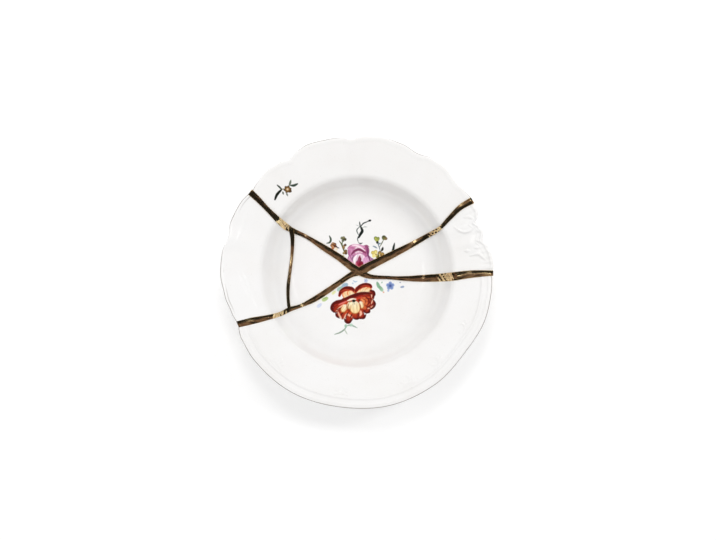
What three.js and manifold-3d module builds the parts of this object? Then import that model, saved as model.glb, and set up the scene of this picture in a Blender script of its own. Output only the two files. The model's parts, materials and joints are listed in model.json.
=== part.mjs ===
// Kintsugi deep plate: a porcelain rim soup plate put together from shards of several
// different plates, held by broad gold seams. Millimetres, +Z up, the foot ring on Z = 0.
import * as THREE from 'three';
import { mergeVertices } from 'three/addons/utils/BufferGeometryUtils.js';
import Module from 'manifold-3d';

const wasm = await Module();
wasm.setup();

// Sizes of the plate
const RIM_RADIUS = 120; // nominal; each shard's own scallops go a little past or short of it
const RIM_WIDTH = 35; // from the corner over the well out to the lip
const RIM_RISE = 8.5; // how much the rim climbs from that corner to the lip
const WELL_DEPTH = 23; // from that corner down to the floor
const FLOOR_RADIUS = 48; // flat part of the well's floor
const FLOOR_THICKNESS = 3.7;
const WALL = 4; // thickness of the wall and the rim
const LIP = 3.2; // thickness at the edge
const WALL_SLOPE = 60; // degrees, at the top of the well's wall
const CORNER_ROUNDING = 5; // along the surface, each way from the corner
const FOOT_OFFSET = 6; // from the flat floor's edge out to the middle of the foot ring
const FOOT_WIDTH = 4;
const FOOT_TAPER = 1.2; // how much wider the foot ring is where it joins the plate, each side
const FOOT_HEIGHT = 2.8; // floor's underside over the table

// Sizes of the seams
const SEAM_WIDTH = 7.6; // at its widest
const JOINT_GAP = 0.3; // between a shard and the gold beside it
const SEAM_CROWN = 1.3; // middle of the seam over the glaze
const SEAM_EDGE = 0.5; // sides of the seam over the glaze
const SEAM_BACK = 0.3; // seam under the plate's underside
const SEAM_END = 0.8; // seam past the lip
const SEAM_STEP = 6; // spacing of the sections along a seam
const SEAM_STEP_ON_WALL = 2.5; // the same where the seam climbs the steep wall

// Sizes of the carving
const SCALLOP_DEPTH = 6.6; // deepest notch of the rocaille shard's rim
const RIDGE_WIDTH = 3.6; // raised moulding that follows the lip of the bottom shard
const RIDGE_HEIGHT = 0.9;
const RIDGE_INSET = 9; // from the lip to the middle of that moulding
const BEAD_WIDTH = 2.4; // narrow bead just inside the lip
const BEAD_HEIGHT = 0.5;
const BEAD_INSET = 3.4;
const SCROLL_WIDTH = 3; // raised scrolls of the rocaille shard
const SCROLL_HEIGHT = 1.3;
const FLUTE_DEPTH = 0.9; // hollows that run in from the notches between rocaille lobes
const FLUTE_LENGTH = 13;

// The cracks, each point as [share of the rim radius, degrees, share of the seam's width]
const CRACK_NORTH = [
  [0.980, 143.0, 0.72], [0.907, 143.5, 0.63], [0.811, 144.7, 0.53], [0.697, 146.3, 0.67],
  [0.635, 147.1, 0.75], [0.588, 146.9, 0.58], [0.472, 144.8, 0.43], [0.305, 143.0, 0.70],
  [0.171, 139.6, 0.79], [0.055, 132.3, 0.87], [0.016, 45.0, 0.97], [0.065, 30.4, 1.00],
  [0.145, 28.7, 0.92], [0.288, 27.6, 0.82], [0.465, 27.5, 0.64], [0.579, 27.9, 0.53],
  [0.656, 28.1, 0.49], [0.697, 28.6, 0.41], [0.783, 30.7, 0.49], [0.897, 32.5, 0.63],
  [0.992, 32.3, 0.75],
];
const CRACK_EAST = [
  [0.016, 45.0, 0.97], [0.088, -16.3, 0.55], [0.230, -8.8, 0.37], [0.357, -6.7, 0.53],
  [0.468, -5.1, 0.76], [0.614, -3.3, 0.91], [0.697, -2.3, 0.97], [0.826, -0.7, 0.87],
  [0.935, -0.2, 0.70], [0.989, -0.1, 0.61],
];
const CRACK_SOUTH = [
  [0.016, 45.0, 0.97], [0.054, -162.3, 0.63], [0.147, -151.9, 0.58], [0.269, -148.9, 0.64],
  [0.387, -148.6, 0.61], [0.495, -150.0, 0.39], [0.575, -151.7, 0.53], [0.644, -151.9, 0.49],
  [0.740, -153.6, 0.58], [0.851, -155.5, 0.79], [0.951, -156.7, 0.75],
];
const CRACK_WEST = [
  [0.588, 146.9, 0.58], [0.549, 152.1, 0.46], [0.507, 164.7, 0.33], [0.503, 177.8, 0.34],
  [0.529, -168.1, 0.37], [0.561, -156.5, 0.34], [0.575, -151.7, 0.41],
];
const CRACKS = [
  { points: CRACK_NORTH, startsAtRim: true, endsAtRim: true },
  { points: CRACK_EAST, startsAtRim: false, endsAtRim: true },
  { points: CRACK_SOUTH, startsAtRim: false, endsAtRim: true },
  { points: CRACK_WEST, startsAtRim: false, endsAtRim: false },
];

// Scallops of each shard's rim, as [degrees, share of the scallops' depth past the radius]
const RIM_TOP = [
  [42, -0.30], [50.5, 0.14], [57, 0.05], [63.5, -0.32], [71, 0.05], [79.4, 0.26], [87, 0.09],
  [93, -0.30], [96, 0.03], [103, 0.12], [111, 0.23], [117, 0], [121, -0.47], [126, -0.12],
  [132, 0.09], [138, -0.18], [143, -0.41], [32, 0.06], [38, -0.15],
];
const RIM_RIGHT = [
  [-2, -0.18], [3.8, 0.05], [8, -0.09], [11.7, -0.42], [14.7, -0.89], [18.4, -0.42], [20.8, -0.64],
  [23.3, -1.00], [25, -0.36], [27.5, -0.06], [30.5, -0.12], [33, -0.24],
];
const RIM_BOTTOM = [
  [-158, -0.82], [-150, -0.33], [-140, -0.09], [-120, 0.06], [-97, -0.09], [-75, 0.08], [-55, 0],
  [-37, -0.30], [-20, 0], [-8, -0.09], [0, -0.21],
];
const RIM_LEFT = [
  [140, -0.36], [150, 0.06], [158, 0.09], [165, -0.27], [171, 0.12], [180, 0.15], [190, -0.18],
  [197, -0.52], [204, -0.82],
];

// Rocaille scrolls on the right shard, each point as [share of the rim radius, degrees]
const SCROLLS = [
  [[0.788, 25.2], [0.842, 22.0], [0.880, 20.6]],
  [[0.868, 26.8], [0.905, 25.6]],
  [[0.862, 9.0], [0.898, 8.5], [0.925, 5.2]],
];

// Shards, each with its own rim, carving and number of facets round a full turn.
// The place is a point that lies on it, as [share of the rim radius, degrees].
const SHARDS = [
  { name: 'shard_top', rim: RIM_TOP, place: [0.5, 90], facets: 120, color: 0xf5f3f0 },
  { name: 'shard_right', rim: RIM_RIGHT, place: [0.8, 14], facets: 180, color: 0xf6f4f1,
    flutes: true, scrolls: true },
  { name: 'shard_bottom', rim: RIM_BOTTOM, place: [0.5, -80], facets: 90, color: 0xf5f2ee,
    mouldings: true },
  { name: 'shard_left', rim: RIM_LEFT, place: [0.85, 175], facets: 90, color: 0xf6f5f3 },
  { name: 'shard_wedge', rim: RIM_LEFT, place: [0.3, 172], facets: 72, color: 0xf4f1ef },
];

const footRadius = FLOOR_RADIUS + FOOT_OFFSET;
const turns = THREE.MathUtils.degToRad;
const cornerRadius = RIM_RADIUS - RIM_WIDTH;
const floorTop = FOOT_HEIGHT + FLOOR_THICKNESS;
const cornerHeight = floorTop + WELL_DEPTH;
const plateHeight = cornerHeight + RIM_RISE;

const polar = ([share, degrees]) => new THREE.Vector2(
  share * RIM_RADIUS * Math.cos(turns(degrees)),
  share * RIM_RADIUS * Math.sin(turns(degrees)),
);

// Upper surface from the middle out to the lip, as [radius, height] points
function upperSurface() {
  const wall = new THREE.Vector2(Math.cos(turns(WALL_SLOPE)), Math.sin(turns(WALL_SLOPE)));
  const corner = new THREE.Vector2(cornerRadius, cornerHeight);
  const wallEnd = corner.clone().addScaledVector(wall, -CORNER_ROUNDING);
  const rimLine = new THREE.Vector2(RIM_WIDTH, RIM_RISE).normalize();
  const rimStart = corner.clone().addScaledVector(rimLine, CORNER_ROUNDING);
  const cove = wallEnd.x - FLOOR_RADIUS;
  const handle = wallEnd.clone().addScaledVector(wall, -(wallEnd.y - floorTop) * 0.7);
  const coveCurve = new THREE.CubicBezierCurve(
    new THREE.Vector2(FLOOR_RADIUS, floorTop),
    new THREE.Vector2(FLOOR_RADIUS + cove * 0.6, floorTop),
    handle,
    wallEnd,
  );
  const bend = new THREE.QuadraticBezierCurve(wallEnd, corner, rimStart);
  const lip = new THREE.Vector2(RIM_RADIUS - LIP / 2, plateHeight);
  return [new THREE.Vector2(0, floorTop), ...coveCurve.getPoints(5), ...bend.getPoints(3).slice(1), lip];
}

// Lower surface from the lip to the foot ring and the middle
function lowerSurface(upper) {
  const outer = [];
  const footOut = footRadius + FOOT_WIDTH / 2;
  const footIn = footRadius - FOOT_WIDTH / 2;
  for (let i = upper.length - 2; i > 0; i -= 1) {
    const along = upper[i + 1].clone().sub(upper[i - 1]).normalize();
    const point = new THREE.Vector2(upper[i].x + along.y * WALL, upper[i].y - along.x * WALL);
    if (point.x > footOut + FOOT_TAPER * 2) outer.push(point);
  }
  return [
    ...outer,
    new THREE.Vector2(footOut + FOOT_TAPER, FOOT_HEIGHT),
    new THREE.Vector2(footOut, 0),
    new THREE.Vector2(footIn, 0),
    new THREE.Vector2(footIn - FOOT_TAPER, FOOT_HEIGHT),
    new THREE.Vector2(0, FOOT_HEIGHT),
  ];
}

const UPPER = upperSurface();
const LOWER = lowerSurface(UPPER);

// Height of the glaze, and its steepness, at a radius
function glaze(radius) {
  let i = 1;
  while (i < UPPER.length - 1 && UPPER[i].x < radius) i += 1;
  const slope = (UPPER[i].y - UPPER[i - 1].y) / (UPPER[i].x - UPPER[i - 1].x);
  return { height: UPPER[i - 1].y + slope * (radius - UPPER[i - 1].x), slope };
}

// Smooth value between the points of a [degrees, value] list
function along(list, degrees) {
  const sorted = [...list].sort((a, b) => a[0] - b[0]);
  const middle = (sorted[0][0] + sorted.at(-1)[0]) / 2;
  let angle = degrees;
  while (angle < middle - 180) angle += 360;
  while (angle > middle + 180) angle -= 360;
  if (angle <= sorted[0][0]) return sorted[0][1];
  for (let i = 1; i < sorted.length; i += 1) {
    const [from, low] = sorted[i - 1];
    const [to, high] = sorted[i];
    if (angle <= to) {
      return low + (high - low) * THREE.MathUtils.smoothstep(angle, from, to);
    }
  }
  return sorted.at(-1)[1];
}

const bump = (distance, width) => (Math.abs(distance) < width / 2
  ? Math.cos((Math.PI * distance) / width) ** 2 : 0);

function toManifold(geometry) {
  const bare = geometry.index ? geometry.toNonIndexed() : geometry.clone();
  bare.deleteAttribute('normal');
  if (bare.hasAttribute('uv')) bare.deleteAttribute('uv');
  const merged = mergeVertices(bare, 1e-4);
  const triVerts = [];
  const index = merged.index.array;
  for (let i = 0; i < index.length; i += 3) {
    const [a, b, c] = [index[i], index[i + 1], index[i + 2]];
    if (a !== b && b !== c && a !== c) triVerts.push(a, b, c);
  }
  const solid = new wasm.Manifold(new wasm.Mesh({
    numProp: 3,
    vertProperties: new Float32Array(merged.attributes.position.array),
    triVerts: new Uint32Array(triVerts),
  }));
  return solid;
}

function toGeometry(solid) {
  const mesh = solid.getMesh();
  const geometry = new THREE.BufferGeometry();
  geometry.setAttribute('position', new THREE.BufferAttribute(new Float32Array(mesh.vertProperties), 3));
  geometry.setIndex(new THREE.BufferAttribute(new Uint32Array(mesh.triVerts), 1));
  geometry.computeVertexNormals();
  return geometry;
}

// A closed profile turned about Z. The profile runs from the top of the axis, out, and back
// to the axis below; the shape function then moves each point.
function turned(profile, facets, shape) {
  const lathe = new THREE.LatheGeometry([...profile].reverse(), facets);
  lathe.rotateX(Math.PI / 2);
  const position = lathe.attributes.position;
  for (let i = 0; i < position.count; i += 1) {
    const x = position.getX(i);
    const y = position.getY(i);
    const radius = Math.hypot(x, y);
    if (radius < 1e-6) {
      position.setXY(i, 0, 0);
    } else {
      const moved = shape(radius, Math.atan2(y, x), position.getZ(i));
      position.setXYZ(i, x * (moved.radius / radius), y * (moved.radius / radius), moved.height);
    }
  }
  return toManifold(lathe);
}

// Past the corner over the well, radii are stretched to end at the given rim radius
function stretched(radius, rimRadius) {
  if (radius <= cornerRadius) return radius;
  return cornerRadius + ((radius - cornerRadius) * (rimRadius - cornerRadius)) / RIM_WIDTH;
}

// A whole plate with the rim and the carving of one shard, before the cracks are cut
function wholePlate(shard) {
  const rimPoints = [];
  const rings = [];
  if (shard.mouldings) {
    rings.push([RIDGE_INSET, RIDGE_WIDTH, RIDGE_HEIGHT], [BEAD_INSET, BEAD_WIDTH, BEAD_HEIGHT]);
  }
  for (const [inset, width, height] of rings) {
    for (const offset of [-0.5, 0, 0.5]) {
      const radius = RIM_RADIUS - inset + offset * width;
      const raise = offset === 0 ? height : 0;
      rimPoints.push(new THREE.Vector2(radius, glaze(radius).height + raise));
    }
  }
  if (shard.flutes) {
    for (const share of [1, 0.6, 0.3]) {
      const radius = RIM_RADIUS - LIP / 2 - share * FLUTE_LENGTH;
      rimPoints.push(new THREE.Vector2(radius, glaze(radius).height));
    }
  }
  const lipTop = UPPER.at(-1);
  const lipOut = new THREE.Vector2(RIM_RADIUS, plateHeight - LIP / 2);
  const lipBottom = new THREE.Vector2(RIM_RADIUS - LIP / 2, plateHeight - LIP);
  const profile = [...UPPER.slice(0, -1), ...rimPoints, lipTop, lipOut, lipBottom, ...LOWER];
  const flute = (degrees) => (shard.flutes ? notch(shard.rim, degrees) : 0);
  return turned(profile, shard.facets, (radius, angle, height) => {
    const degrees = THREE.MathUtils.radToDeg(angle);
    const rimRadius = RIM_RADIUS + SCALLOP_DEPTH * along(shard.rim, degrees);
    const fade = THREE.MathUtils.smoothstep(radius, RIM_RADIUS - FLUTE_LENGTH, RIM_RADIUS - LIP);
    return {
      radius: stretched(radius, rimRadius),
      height: height - FLUTE_DEPTH * fade * flute(degrees),
    };
  });
}

// How deep in a notch of the rim an angle lies, from 0 on a lobe's crest to 1
function notch(rim, degrees) {
  const offsets = rim.map((point) => point[1]);
  const low = Math.min(...offsets);
  const high = Math.max(...offsets);
  return (high - along(rim, degrees)) / (high - low);
}

// Stations along a line on the plate, closer together on the steep wall
function stations(points, step, stepOnWall) {
  const curve = new THREE.CatmullRomCurve3(points, false, 'centripetal');
  const length = curve.getLength();
  const places = [0];
  let distance = 0;
  while (distance < length) {
    const radius = curve.getPointAt(distance / length).setZ(0).length();
    const steep = radius > FLOOR_RADIUS + (cornerRadius - FLOOR_RADIUS) / 2
      && radius < cornerRadius + CORNER_ROUNDING;
    distance += steep ? stepOnWall : step;
    if (distance < length - stepOnWall / 2) places.push(distance);
  }
  places.push(length);
  return places.map((place) => {
    const point = curve.getPointAt(place / length);
    const tangent = curve.getTangentAt(place / length).setZ(0).normalize();
    return { x: point.x, y: point.y, width: point.z, side: new THREE.Vector2(-tangent.y, tangent.x) };
  });
}

// A closed strip along a line: at each station a section of [across, height] points
function strip(places, section) {
  const vertices = [];
  const index = [];
  const sections = places.map((place) => section(place));
  const count = sections[0].length;
  places.forEach((place, i) => {
    for (const [across, height] of sections[i]) {
      vertices.push(place.x + place.side.x * across, place.y + place.side.y * across, height);
    }
  });
  for (let i = 0; i < places.length - 1; i += 1) {
    for (let j = 0; j < count; j += 1) {
      const a = i * count + j;
      const b = i * count + ((j + 1) % count);
      index.push(a, b, b + count, a, b + count, a + count);
    }
  }
  const last = (places.length - 1) * count;
  for (let j = 1; j < count - 1; j += 1) {
    index.push(0, j + 1, j);
    index.push(last, last + j, last + j + 1);
  }
  const geometry = new THREE.BufferGeometry();
  geometry.setAttribute('position', new THREE.Float32BufferAttribute(vertices, 3));
  geometry.setIndex(index);
  const solid = toManifold(geometry);
  if (solid.volume() < 0) throw new Error('a strip is inside out');
  return solid;
}

// A crack's line, carried on past the lip where it reaches the rim
function crackLine(crack) {
  const line = crack.points.map((point) => {
    const place = polar(point);
    return new THREE.Vector3(place.x, place.y, point[2] * SEAM_WIDTH);
  });
  const beyond = (end, before) => {
    const away = end.clone().sub(before).setZ(0).normalize();
    return end.clone().addScaledVector(away, RIM_RADIUS * 0.08);
  };
  if (crack.startsAtRim) line.unshift(beyond(line[0], line[1]));
  if (crack.endsAtRim) line.push(beyond(line.at(-1), line.at(-2)));
  return stations(line, SEAM_STEP, SEAM_STEP_ON_WALL);
}

const below = -2 * WALL;
const above = plateHeight + 4 * WALL;

function seamSection(place) {
  const { height, slope } = glaze(Math.hypot(place.x, place.y));
  const lean = Math.hypot(1, slope);
  const half = place.width / 2;
  return [
    [-half, below],
    [half, below],
    [half, height + SEAM_EDGE * lean],
    [half * 0.45, height + SEAM_CROWN * lean],
    [-half * 0.45, height + SEAM_CROWN * lean],
    [-half, height + SEAM_EDGE * lean],
  ];
}

function cutSection(place) {
  const half = place.width / 2 + JOINT_GAP;
  return [[-half, below], [half, below], [half, above], [-half, above]];
}

function scrollSection(place) {
  const { height } = glaze(Math.hypot(place.x, place.y));
  const half = place.width / 2;
  return [[-half, height - LIP / 2], [half, height - LIP / 2], [0, height + SCROLL_HEIGHT]];
}

// What the gold fills: from the plate's underside up past the crowned seams, and a little
// past the lip at each crack's own end
function castingForm() {
  const ends = [];
  for (const crack of CRACKS) {
    if (crack.startsAtRim) ends.push(crack.points[0]);
    if (crack.endsAtRim) ends.push(crack.points.at(-1));
  }
  const rimAt = (degrees) => {
    const distance = (end) => Math.abs(((degrees - end[1] + 540) % 360) - 180);
    const nearest = ends.reduce((a, b) => (distance(b) < distance(a) ? b : a));
    return nearest[0] * RIM_RADIUS + SEAM_END;
  };
  const underside = LOWER.map((point) => new THREE.Vector2(
    point.x,
    point.y > 0 ? Math.max(point.y - SEAM_BACK, 0) : 0,
  ));
  const rimLow = new THREE.Vector2(RIM_RADIUS, plateHeight - LIP - SEAM_BACK);
  const rimHigh = new THREE.Vector2(RIM_RADIUS, plateHeight + SEAM_EDGE);
  const crest = new THREE.Vector2(RIM_RADIUS - LIP, above);
  const profile = [new THREE.Vector2(0, above), crest, rimHigh, rimLow, ...underside];
  return turned(profile, 90, (radius, angle, height) => ({
    radius: stretched(radius, rimAt(THREE.MathUtils.radToDeg(angle))),
    height,
  }));
}

const lines = CRACKS.map(crackLine);
const join = (solids) => solids.reduce((all, next) => all.add(next));
const cracks = join(lines.map((line) => strip(line, cutSection)));
const gold = join(lines.map((line) => strip(line, seamSection))).intersect(castingForm());

// The body of a cut plate that lies under a point
function bodyAt(solid, place) {
  const target = polar(place);
  const probe = toManifold(new THREE.CylinderGeometry(WALL / 2, WALL / 2, 4 * plateHeight, 12)
    .rotateX(Math.PI / 2).translate(target.x, target.y, 0));
  return solid.decompose().find((body) => body.intersect(probe).volume() > 0);
}

function shardSolid(shard) {
  let plate = wholePlate(shard);
  if (shard.scrolls) {
    for (const scroll of SCROLLS) {
      const line = scroll.map((point) => {
        const place = polar(point);
        return new THREE.Vector3(place.x, place.y, SCROLL_WIDTH);
      });
      plate = plate.add(strip(stations(line, SCROLL_WIDTH, SCROLL_WIDTH), scrollSection));
    }
  }
  return bodyAt(plate.subtract(cracks), shard.place);
}

const plate = new THREE.Group();
plate.name = 'kintsugi_deep_plate';

for (const shard of SHARDS) {
  const glazed = new THREE.MeshStandardMaterial({ color: shard.color, roughness: 0.15, metalness: 0 });
  const mesh = new THREE.Mesh(toGeometry(shardSolid(shard)), glazed);
  mesh.name = shard.name;
  plate.add(mesh);
}

const gilded = new THREE.MeshStandardMaterial({ color: 0xd9b46a, roughness: 0.22, metalness: 1 });
const seam = new THREE.Mesh(toGeometry(gold), gilded);
seam.name = 'gold_seam';
plate.add(seam);

// The middle of the whole plate's outline comes to the origin
plate.updateMatrixWorld(true);
const outline = new THREE.Box3().setFromObject(plate, true);
plate.position.set(-(outline.min.x + outline.max.x) / 2, -(outline.min.y + outline.max.y) / 2, 0);

export default plate;
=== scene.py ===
import json
import math

import bpy
import numpy as np
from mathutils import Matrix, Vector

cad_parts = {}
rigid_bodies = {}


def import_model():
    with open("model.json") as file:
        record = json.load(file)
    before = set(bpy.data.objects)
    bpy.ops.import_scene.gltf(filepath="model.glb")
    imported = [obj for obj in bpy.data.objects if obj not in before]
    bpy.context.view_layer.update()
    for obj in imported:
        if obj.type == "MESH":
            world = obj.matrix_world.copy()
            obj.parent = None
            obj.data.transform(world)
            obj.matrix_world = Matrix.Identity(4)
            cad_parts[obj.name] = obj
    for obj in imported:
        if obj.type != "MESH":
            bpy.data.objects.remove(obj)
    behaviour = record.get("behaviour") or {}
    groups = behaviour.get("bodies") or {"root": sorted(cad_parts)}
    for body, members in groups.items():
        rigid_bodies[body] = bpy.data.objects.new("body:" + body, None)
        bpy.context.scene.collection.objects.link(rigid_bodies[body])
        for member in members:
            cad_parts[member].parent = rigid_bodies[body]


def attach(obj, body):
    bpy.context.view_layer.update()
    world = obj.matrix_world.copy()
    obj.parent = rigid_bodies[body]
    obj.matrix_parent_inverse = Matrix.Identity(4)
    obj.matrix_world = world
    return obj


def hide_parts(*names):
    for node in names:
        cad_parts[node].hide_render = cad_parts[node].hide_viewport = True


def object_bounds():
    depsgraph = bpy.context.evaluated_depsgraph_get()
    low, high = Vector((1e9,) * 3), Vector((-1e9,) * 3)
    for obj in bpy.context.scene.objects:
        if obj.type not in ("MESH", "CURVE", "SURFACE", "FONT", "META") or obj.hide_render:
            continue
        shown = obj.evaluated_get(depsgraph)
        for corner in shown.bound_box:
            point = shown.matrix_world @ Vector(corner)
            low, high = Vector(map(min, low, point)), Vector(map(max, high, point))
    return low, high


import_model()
cad_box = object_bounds()

# Studio: a white table, even light from all round, soft lights from the back and both sides, and
# two small strips for the glints. The room that the gold and the glaze mirror is white low down
# and black overhead, with a band of browns across it.
mm = 0.001
CAMERA_HEIGHT = 1600 * mm
VIEW_WIDTH = 629 * mm  # width of the picture at the height of the rim
VIEW_MIDDLE = (0.9 * mm, 2.2 * mm)
SENSOR = 36.0
TABLE_SIZE = 12.0
TABLE_WHITE = 0.76
TABLE_GLOW = 0.275  # lifts the shadows on the table
LIGHTS = [  # name, turn and rise in degrees, distance, size, watts, whether reflections show it
    ("back_light", 95, 58, 1.5, (0.5, 0.5), 5.6, False),
    ("right_light", 24, 46, 1.4, (0.3, 0.3), 3.9, False),
    ("left_light", 186, 44, 1.4, (0.7, 0.7), 2.55, False),
    ("left_strip", 178, 73, 1.5, (0.14, 0.12), 0.128, True),
    ("right_strip", 9, 75.5, 1.5, (0.19, 0.09), 0.104, True),
]
EVEN_LIGHT = 0.656
ROOM_WHITE = (1.6, 1.6, 1.6)
ROOM_BLACK = (0.012, 0.012, 0.012)
ROOM_BROWN = (0.178, 0.114, 0.1)
ROOM_TAN = (0.25, 0.2, 0.175)
ROOM_UMBER = (0.08, 0.045, 0.044)
ROOM_BAND = [  # place across the room, from its front to its back, and colour
    (0.33, ROOM_BLACK), (0.37, ROOM_BROWN), (0.4, ROOM_TAN), (0.44, ROOM_BROWN),
    (0.49, ROOM_UMBER), (0.53, ROOM_BROWN), (0.585, ROOM_BLACK),
]
BAND_TURN = math.radians(4)  # how far the band is turned about the plate's axis
WHITE_UP_TO, DARK_FROM = 0.07, 0.19  # how high in the room, as the sine of the rise

bpy.ops.object.select_all(action="DESELECT")
bpy.ops.object.camera_add(location=(*VIEW_MIDDLE, CAMERA_HEIGHT), rotation=(0, 0, 0))
camera = bpy.context.object
camera.name = "overhead_camera"
rim_height = cad_box[1].z
camera.data.sensor_width = SENSOR
camera.data.lens = SENSOR * (CAMERA_HEIGHT - rim_height) / VIEW_WIDTH
bpy.context.scene.camera = camera

bpy.ops.mesh.primitive_plane_add(size=TABLE_SIZE)
table = bpy.context.object
table.name = "table"
table_white = bpy.data.materials.new("table white")
table_white.use_nodes = True
white_shader = table_white.node_tree.nodes["Principled BSDF"]
white_shader.inputs["Base Color"].default_value = (TABLE_WHITE, TABLE_WHITE, TABLE_WHITE, 1)
white_shader.inputs["Emission Color"].default_value = (1, 1, 1, 1)
white_shader.inputs["Emission Strength"].default_value = TABLE_GLOW
white_shader.inputs["Roughness"].default_value = 0.9
white_shader.inputs["Specular IOR Level"].default_value = 0.0
table.data.materials.append(table_white)


def soft_light(name, turn, rise, distance, size, power, mirrored):
    """A soft light aimed at the plate; only the mirrored ones show in the gold and the glaze."""
    turn, rise = math.radians(turn), math.radians(rise)
    place = (
        distance * math.cos(rise) * math.cos(turn),
        distance * math.cos(rise) * math.sin(turn),
        distance * math.sin(rise),
    )
    bpy.ops.object.light_add(type="AREA", location=place)
    light = bpy.context.object
    light.name = name
    light.rotation_euler = (math.pi / 2 - rise, 0, turn + math.pi / 2)
    light.data.shape = "RECTANGLE"
    light.data.size, light.data.size_y = size
    light.data.energy = power
    light.visible_glossy = mirrored


for light in LIGHTS:
    soft_light(*light)

room = bpy.data.worlds.new("room")
room.use_nodes = True
bpy.context.scene.world = room
room_nodes, room_links = room.node_tree.nodes, room.node_tree.links
background = room_nodes["Background"]
direction = room_nodes.new("ShaderNodeTexCoord")
parts = room_nodes.new("ShaderNodeSeparateXYZ")
room_links.new(direction.outputs["Generated"], parts.inputs[0])
across_band = room_nodes.new("ShaderNodeVectorMath")
across_band.operation = "DOT_PRODUCT"
across_band.inputs[1].default_value = (-math.sin(BAND_TURN), math.cos(BAND_TURN), 0)
room_links.new(direction.outputs["Generated"], across_band.inputs[0])


def room_ramp(stops):
    """A colour ramp through the stops, each a place and a colour."""
    ramp = room_nodes.new("ShaderNodeValToRGB")
    while len(ramp.color_ramp.elements) < len(stops):
        ramp.color_ramp.elements.new(0.5)
    for element, (place, colour) in zip(ramp.color_ramp.elements, stops):
        element.position = place
        element.color = (*colour, 1)
    return ramp


band = room_ramp(ROOM_BAND)
from_middle = room_nodes.new("ShaderNodeMapRange")
from_middle.inputs["From Min"].default_value = -0.5
from_middle.inputs["From Max"].default_value = 0.5
room_links.new(across_band.outputs["Value"], from_middle.inputs["Value"])
room_links.new(from_middle.outputs["Result"], band.inputs["Fac"])
height = room_ramp([(WHITE_UP_TO, (1, 1, 1)), (DARK_FROM, (0, 0, 0))])
room_links.new(parts.outputs["Z"], height.inputs["Fac"])
mirrored_room = room_nodes.new("ShaderNodeMix")
mirrored_room.data_type = "RGBA"
mirrored_room.inputs["B"].default_value = (*ROOM_WHITE, 1)
room_links.new(height.outputs["Color"], mirrored_room.inputs["Factor"])
room_links.new(band.outputs["Color"], mirrored_room.inputs["A"])
ray = room_nodes.new("ShaderNodeLightPath")
seen_room = room_nodes.new("ShaderNodeMix")
seen_room.data_type = "RGBA"
seen_room.inputs["A"].default_value = (EVEN_LIGHT, EVEN_LIGHT, EVEN_LIGHT, 1)
room_links.new(ray.outputs["Is Glossy Ray"], seen_room.inputs["Factor"])
room_links.new(mirrored_room.outputs["Result"], seen_room.inputs["B"])
room_links.new(seen_room.outputs["Result"], background.inputs["Color"])
scene = bpy.context.scene
scene.view_settings.view_transform = "Standard"
scene.view_settings.look = "None"

# Plate blank: the deep rim plate that every shard was broken from. It is porcelain, pressed
# over a turning mould and glazed all over but for the foot ring's edge.
CENTRE = np.array((0.43, -0.377)) * mm  # the plate's own axis in the frame
RIM_RADIUS = 120 * mm
RIM_WIDTH = 35 * mm
RIM_RISE = 8.5 * mm
WELL_DEPTH = 23 * mm
FLOOR_RADIUS = 48 * mm
FLOOR_TOP = 6.5 * mm
FLOOR_BOTTOM = 2.8 * mm
WALL = 4 * mm
LIP = 3.2 * mm
LIP_TRIM = 0.14 * mm  # keeps the round lip inside the solids' facets
WALL_SLOPE = math.radians(60)
CORNER_ROUNDING = 3.4 * mm
FOOT_RADIUS = 54 * mm
FOOT_WIDTH = 4 * mm
FOOT_TAPER = 1.2 * mm
PAINTED_STEP = 0.5 * mm  # spacing of the mesh rings in the painted middle
RIM_STEP = 1.1 * mm
TURN_STEPS = 720
MERGE_DISTANCE = 0.002 * mm
PAINTED_RADIUS = 62 * mm
corner_radius = RIM_RADIUS - RIM_WIDTH
corner_height = FLOOR_TOP + WELL_DEPTH
plate_height = corner_height + RIM_RISE


def bezier(points, count):
    """Points along a curve that the given points pull on."""
    t = np.linspace(0, 1, count)[:, None]
    level = [np.array(p, float) + t * 0 for p in points]
    while len(level) > 1:
        level = [a * (1 - t) + b * t for a, b in zip(level, level[1:])]
    return level[0]


def upper_line(count=400):
    """The glaze's upper side, from the plate's middle to its lip, as radius and height."""
    wall = np.array((math.cos(WALL_SLOPE), math.sin(WALL_SLOPE)))
    corner = np.array((corner_radius, corner_height))
    wall_end = corner - CORNER_ROUNDING * wall
    rim_line = np.array((RIM_WIDTH, RIM_RISE)) / math.hypot(RIM_WIDTH, RIM_RISE)
    rim_start = corner + CORNER_ROUNDING * rim_line
    cove = wall_end[0] - FLOOR_RADIUS
    handle = wall_end - (wall_end[1] - FLOOR_TOP) * 0.7 * wall
    cove_line = bezier(
        [(FLOOR_RADIUS, FLOOR_TOP), (FLOOR_RADIUS + cove * 0.6, FLOOR_TOP), handle, wall_end],
        count,
    )
    bend = bezier([wall_end, corner, rim_start], count)
    lip_top = [(RIM_RADIUS - LIP / 2, plate_height)]
    return np.vstack([[(0, FLOOR_TOP)], cove_line, bend[1:], lip_top])


UPPER = upper_line()


def glaze_height(radius):
    """Height of the plain upper side at a radius."""
    return np.interp(radius, UPPER[:, 0], UPPER[:, 1])


def glaze_slope(radius):
    """How steep the plain upper side is at a radius."""
    step = 0.4 * mm
    return (glaze_height(radius + step) - glaze_height(radius - step)) / (2 * step)


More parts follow.
